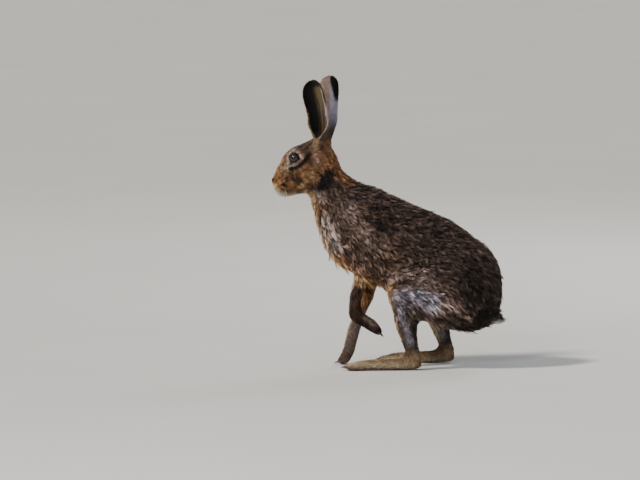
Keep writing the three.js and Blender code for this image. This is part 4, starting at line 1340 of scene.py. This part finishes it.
# %% The tree of strands
def strand_tree():
    group = bpy.data.node_groups.new("tapered strands", "GeometryNodeTree")
    group.interface.new_socket("Roots", in_out="INPUT", socket_type="NodeSocketGeometry")
    kinds = {"Thickness": "Float", "Bend": "Float", "Rings": "Int", "Sides": "Int", "Material": "Material"}
    for name, kind in kinds.items():
        group.interface.new_socket(name, in_out="INPUT", socket_type="NodeSocket" + kind)
    group.interface.new_socket("Strands", in_out="OUTPUT", socket_type="NodeSocketGeometry")
    tree = Tree(group)
    given = tree.node("NodeGroupInput").socket.node.outputs
    wire = {name: Wire(tree, given[name]) for name in ("Roots", *kinds)}
    end = tree.node("ShaderNodeCombineXYZ", {"X": 1.0, "Z": wire["Bend"] * -1})
    bezier = {"Resolution": wire["Rings"], "Start": (0, 0, 0), "Middle": (0.55, 0, 0), "End": end}
    line = tree.node("GeometryNodeCurveQuadraticBezier", bezier)
    circle = {"Resolution": wire["Sides"], "Radius": wire["Thickness"] * 0.5}
    section = tree.node("GeometryNodeCurvePrimitiveCircle", circle, mode="RADIUS")
    taper = 1.01 - tree.node("GeometryNodeSplineParameter")
    tube = {"Curve": line, "Profile Curve": section, "Scale": taper, "Fill Caps": True}
    strand = tree.node("GeometryNodeCurveToMesh", tube)
    strand = tree.node("GeometryNodeSetShadeSmooth", {"Geometry": strand, "Shade Smooth": True})
    way = tree.node("GeometryNodeInputNamedAttribute", {"Name": "way"}, data_type="FLOAT_VECTOR")
    long = tree.node("GeometryNodeInputNamedAttribute", {"Name": "long"}, data_type="FLOAT")
    turned = tree.node("FunctionNodeAlignRotationToVector", {"Vector": way}, axis="X")
    upright = {"Rotation": turned, "Vector": (0, 0, 1)}
    turned = tree.node("FunctionNodeAlignRotationToVector", upright, axis="Z", pivot_axis="X")
    copies = {"Points": wire["Roots"], "Instance": strand, "Rotation": turned, "Scale": long}
    copies = tree.node("GeometryNodeInstanceOnPoints", copies)
    made = tree.node("GeometryNodeRealizeInstances", {"Geometry": copies})
    made = tree.node("GeometryNodeSetMaterial", {"Geometry": made, "Material": wire["Material"]})
    tree.join(made, group.nodes.new("NodeGroupOutput").inputs["Strands"])
    return group


STRANDS = strand_tree()


def strands(name, starts, directions, lengths, **values):
    """A piece with one strand on each start, of the given thickness as a share of its length."""
    mesh = bpy.data.meshes.new(name)
    mesh.from_pydata([tuple(start) for start in starts], [], [])
    mesh.attributes.new("way", "FLOAT_VECTOR", "POINT").data.foreach_set("vector", np.ravel(directions))
    mesh.attributes.new("long", "FLOAT", "POINT").data.foreach_set("value", np.ravel(lengths))
    piece = linked(name, mesh)
    grow = piece.modifiers.new("strands", "NODES")
    grow.node_group = STRANDS
    for item in STRANDS.interface.items_tree:
        if item.name in values:
            grow[item.identifier] = values[item.name]
    made = worked(piece)
    piece.modifiers.clear()
    piece.data = made
    return piece


print("tree:", STRANDS.name, "with", len(STRANDS.nodes), "nodes")

# %% Whiskers
WHISKER_ROWS = ((294, 2), (289, 4), (284, 5))  # height in millimetres, and how many grow there


def horn_finish(name, colour, roughness, contrast):
    finish = Finish(name, Roughness=roughness, Specular_IOR_Level=0.5)
    change = finish.noise(700) * contrast + (1 - 0.5 * contrast)
    return finish.use(
        Base_Color=finish.scaled(tuple(colour), change),
        Roughness=finish.noise(1500) * 0.2 + (roughness - 0.1),
        Normal=finish.bump(finish.noise(2600), 0.00008),
    )


def whiskers(side):
    """Long pale hairs from the pad of the upper lip, the lower ones hanging nearly straight down."""
    draw = np.random.default_rng(7 + side)
    starts, directions, lengths = [], [], []
    for row, (height, count) in enumerate(WHISKER_ROWS):
        for k in range(count):
            x = -182 + 16 * (k + 0.5) / count + draw.normal() * 0.8
            place = np.array((x, side * 18, height + draw.normal() * 0.7)) * MM
            root, normal, _, _ = whole_surface.find_nearest(Vector(place))
            lean = np.array((-0.26 + 0.034 * (x + 182), side * (0.6 - 0.22 * row), -0.9 - 0.3 * row))
            directions.append(unit(lean + draw.normal(size=3) * 0.09))
            starts.append(np.array(root) - np.array(normal) * 1.2 * MM)
            lengths.append((32 + 7 * row + draw.uniform(-6, 8)) * MM)
    return strands("whiskers_" + SIDES[side], starts, directions, lengths,
                   Thickness=0.0066, Bend=0.12, Rings=9, Sides=5, Material=PALE_HORN)


PALE_HORN = horn_finish("whisker", paint("f2ead9"), 0.4, 0.2)
whisker_pieces = [whiskers(side) for side in SIDES]
print("whiskers:", sum(len(piece.data.polygons) for piece in whisker_pieces), "faces")

# %% Claws
DARK_HORN = horn_finish("claw horn", paint("3a2c24"), 0.35, 0.8)
CLAW_LONG = 9.5 * MM
claws = {}
for foot, name in zip(feet, ("hind_foot_left", "hind_foot_right", "forepaw_left", "forepaw_right")):
    bases = [base - way * 1.5 * MM for base, way in foot]
    ways_of_foot = [way for _, way in foot]
    claws[name] = strands("claws_" + name, bases, ways_of_foot, [CLAW_LONG] * len(foot),
                          Thickness=0.34, Bend=0.22, Rings=8, Sides=10, Material=DARK_HORN)
print("claws:", sum(len(piece.data.polygons) for piece in claws.values()), "faces")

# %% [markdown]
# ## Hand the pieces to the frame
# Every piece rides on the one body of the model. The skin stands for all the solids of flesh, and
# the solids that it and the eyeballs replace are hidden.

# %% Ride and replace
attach(skin, "root")
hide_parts(*flesh, *locked, *ears)
for piece, slot in coat_pieces:
    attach(piece, "root")
for side, piece in eyeballs.items():
    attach(piece, "root")
    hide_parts("eye_left" if side < 0 else "eye_right")
for piece in whisker_pieces:
    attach(piece, "root")
for name, piece in claws.items():
    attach(piece, "root")
print("riding:", 3 + len(coat_pieces) + len(whisker_pieces) + len(claws), "pieces")

# %% [markdown]
# ## Floor, light and camera
# A plain pale floor and soft studio light let the coat speak for itself. The main light comes from
# high on the picture's left and a little from the camera's side, with a fill in front and a rim of
# light behind. The camera stands twelve metres off with a long lens, almost level with the hare.

# %% Floor and light
FLOOR_SIDES = 96


def studio_floor():
    """A wide round floor, so large that its edge is outside the picture from any side."""
    turn = np.linspace(0, 2 * math.pi, FLOOR_SIDES, endpoint=False)
    rim = np.stack([np.cos(turn), np.sin(turn), turn * 0], -1)
    reaches = (0.5, 2, 8, 40)
    points = np.concatenate([rim * reach for reach in reaches] + [np.zeros((1, 3))])
    quads = ring_quads(len(reaches), FLOOR_SIDES)[:, [0, 3, 2, 1]]
    k = np.arange(FLOOR_SIDES)
    middle = np.stack([np.full(FLOOR_SIDES, len(points) - 1), k, (k + 1) % FLOOR_SIDES], -1)
    piece = mesh_object("floor", points, quads, middle)
    finish = Finish("pale floor", Roughness=0.85, Specular_IOR_Level=0.1)
    stops = [(0, (0.62, 0.61, 0.59)), (1, (0.68, 0.67, 0.65))]
    tone = finish.node("ShaderNodeValToRGB", {"Fac": finish.noise(3)}, stops=stops)
    piece.data.materials.append(finish.use(Base_Color=tone))
    return piece


def lamp(name, kind, place, aim, power, colour, **settings):
    light = bpy.data.lights.new(name, kind)
    light.energy, light.color = power, colour
    for setting, value in settings.items():
        setattr(light, setting, value)
    piece = linked(name, light)
    piece.location = place
    piece.rotation_euler = (Vector(aim) - Vector(place)).to_track_quat("-Z", "Y").to_euler()


studio_floor()
lamp("key", "SUN", (0, 0, 0), (1.7, 0.75, -1.9), 3.3, (1.0, 0.93, 0.83), angle=math.radians(7))
lamp("front fill", "AREA", (-0.9, -2.6, 1.6), (0, 0, 0.2), 28, (0.96, 0.98, 1.0), shape="DISK", size=0.6)
lamp("back rim", "AREA", (1.0, 1.8, 1.6), (0, 0, 0.25), 20, (0.97, 0.98, 1.0), shape="DISK", size=1.0)
world = bpy.data.worlds.new("studio air")
world.use_nodes = True
air = world.node_tree.nodes["Background"].inputs
air["Color"].default_value = (0.82, 0.86, 0.9, 1)
air["Strength"].default_value = 0.36
bpy.context.scene.world = world
print("studio: floor, three lights and the air")

# %% The camera
CAMERA_FAR = 12.0
CAMERA_RISE = math.radians(6)
FRAME_WIDTH = 640 * 1.65 * MM  # the picture is 640 pixels wide, each 1.65 mm at the hare
AIM = Vector((-0.112, 0, 0.210))  # what the middle of the picture shows
camera = linked("camera", bpy.data.cameras.new("camera"))
camera.location = AIM + CAMERA_FAR * Vector((0, -math.cos(CAMERA_RISE), math.sin(CAMERA_RISE)))
camera.rotation_euler = (math.pi / 2 - CAMERA_RISE, 0, 0)
camera.data.lens = camera.data.sensor_width * CAMERA_FAR / FRAME_WIDTH
camera.data.clip_end = 60
bpy.context.scene.camera = camera
print("camera: lens", round(camera.data.lens), "mm")
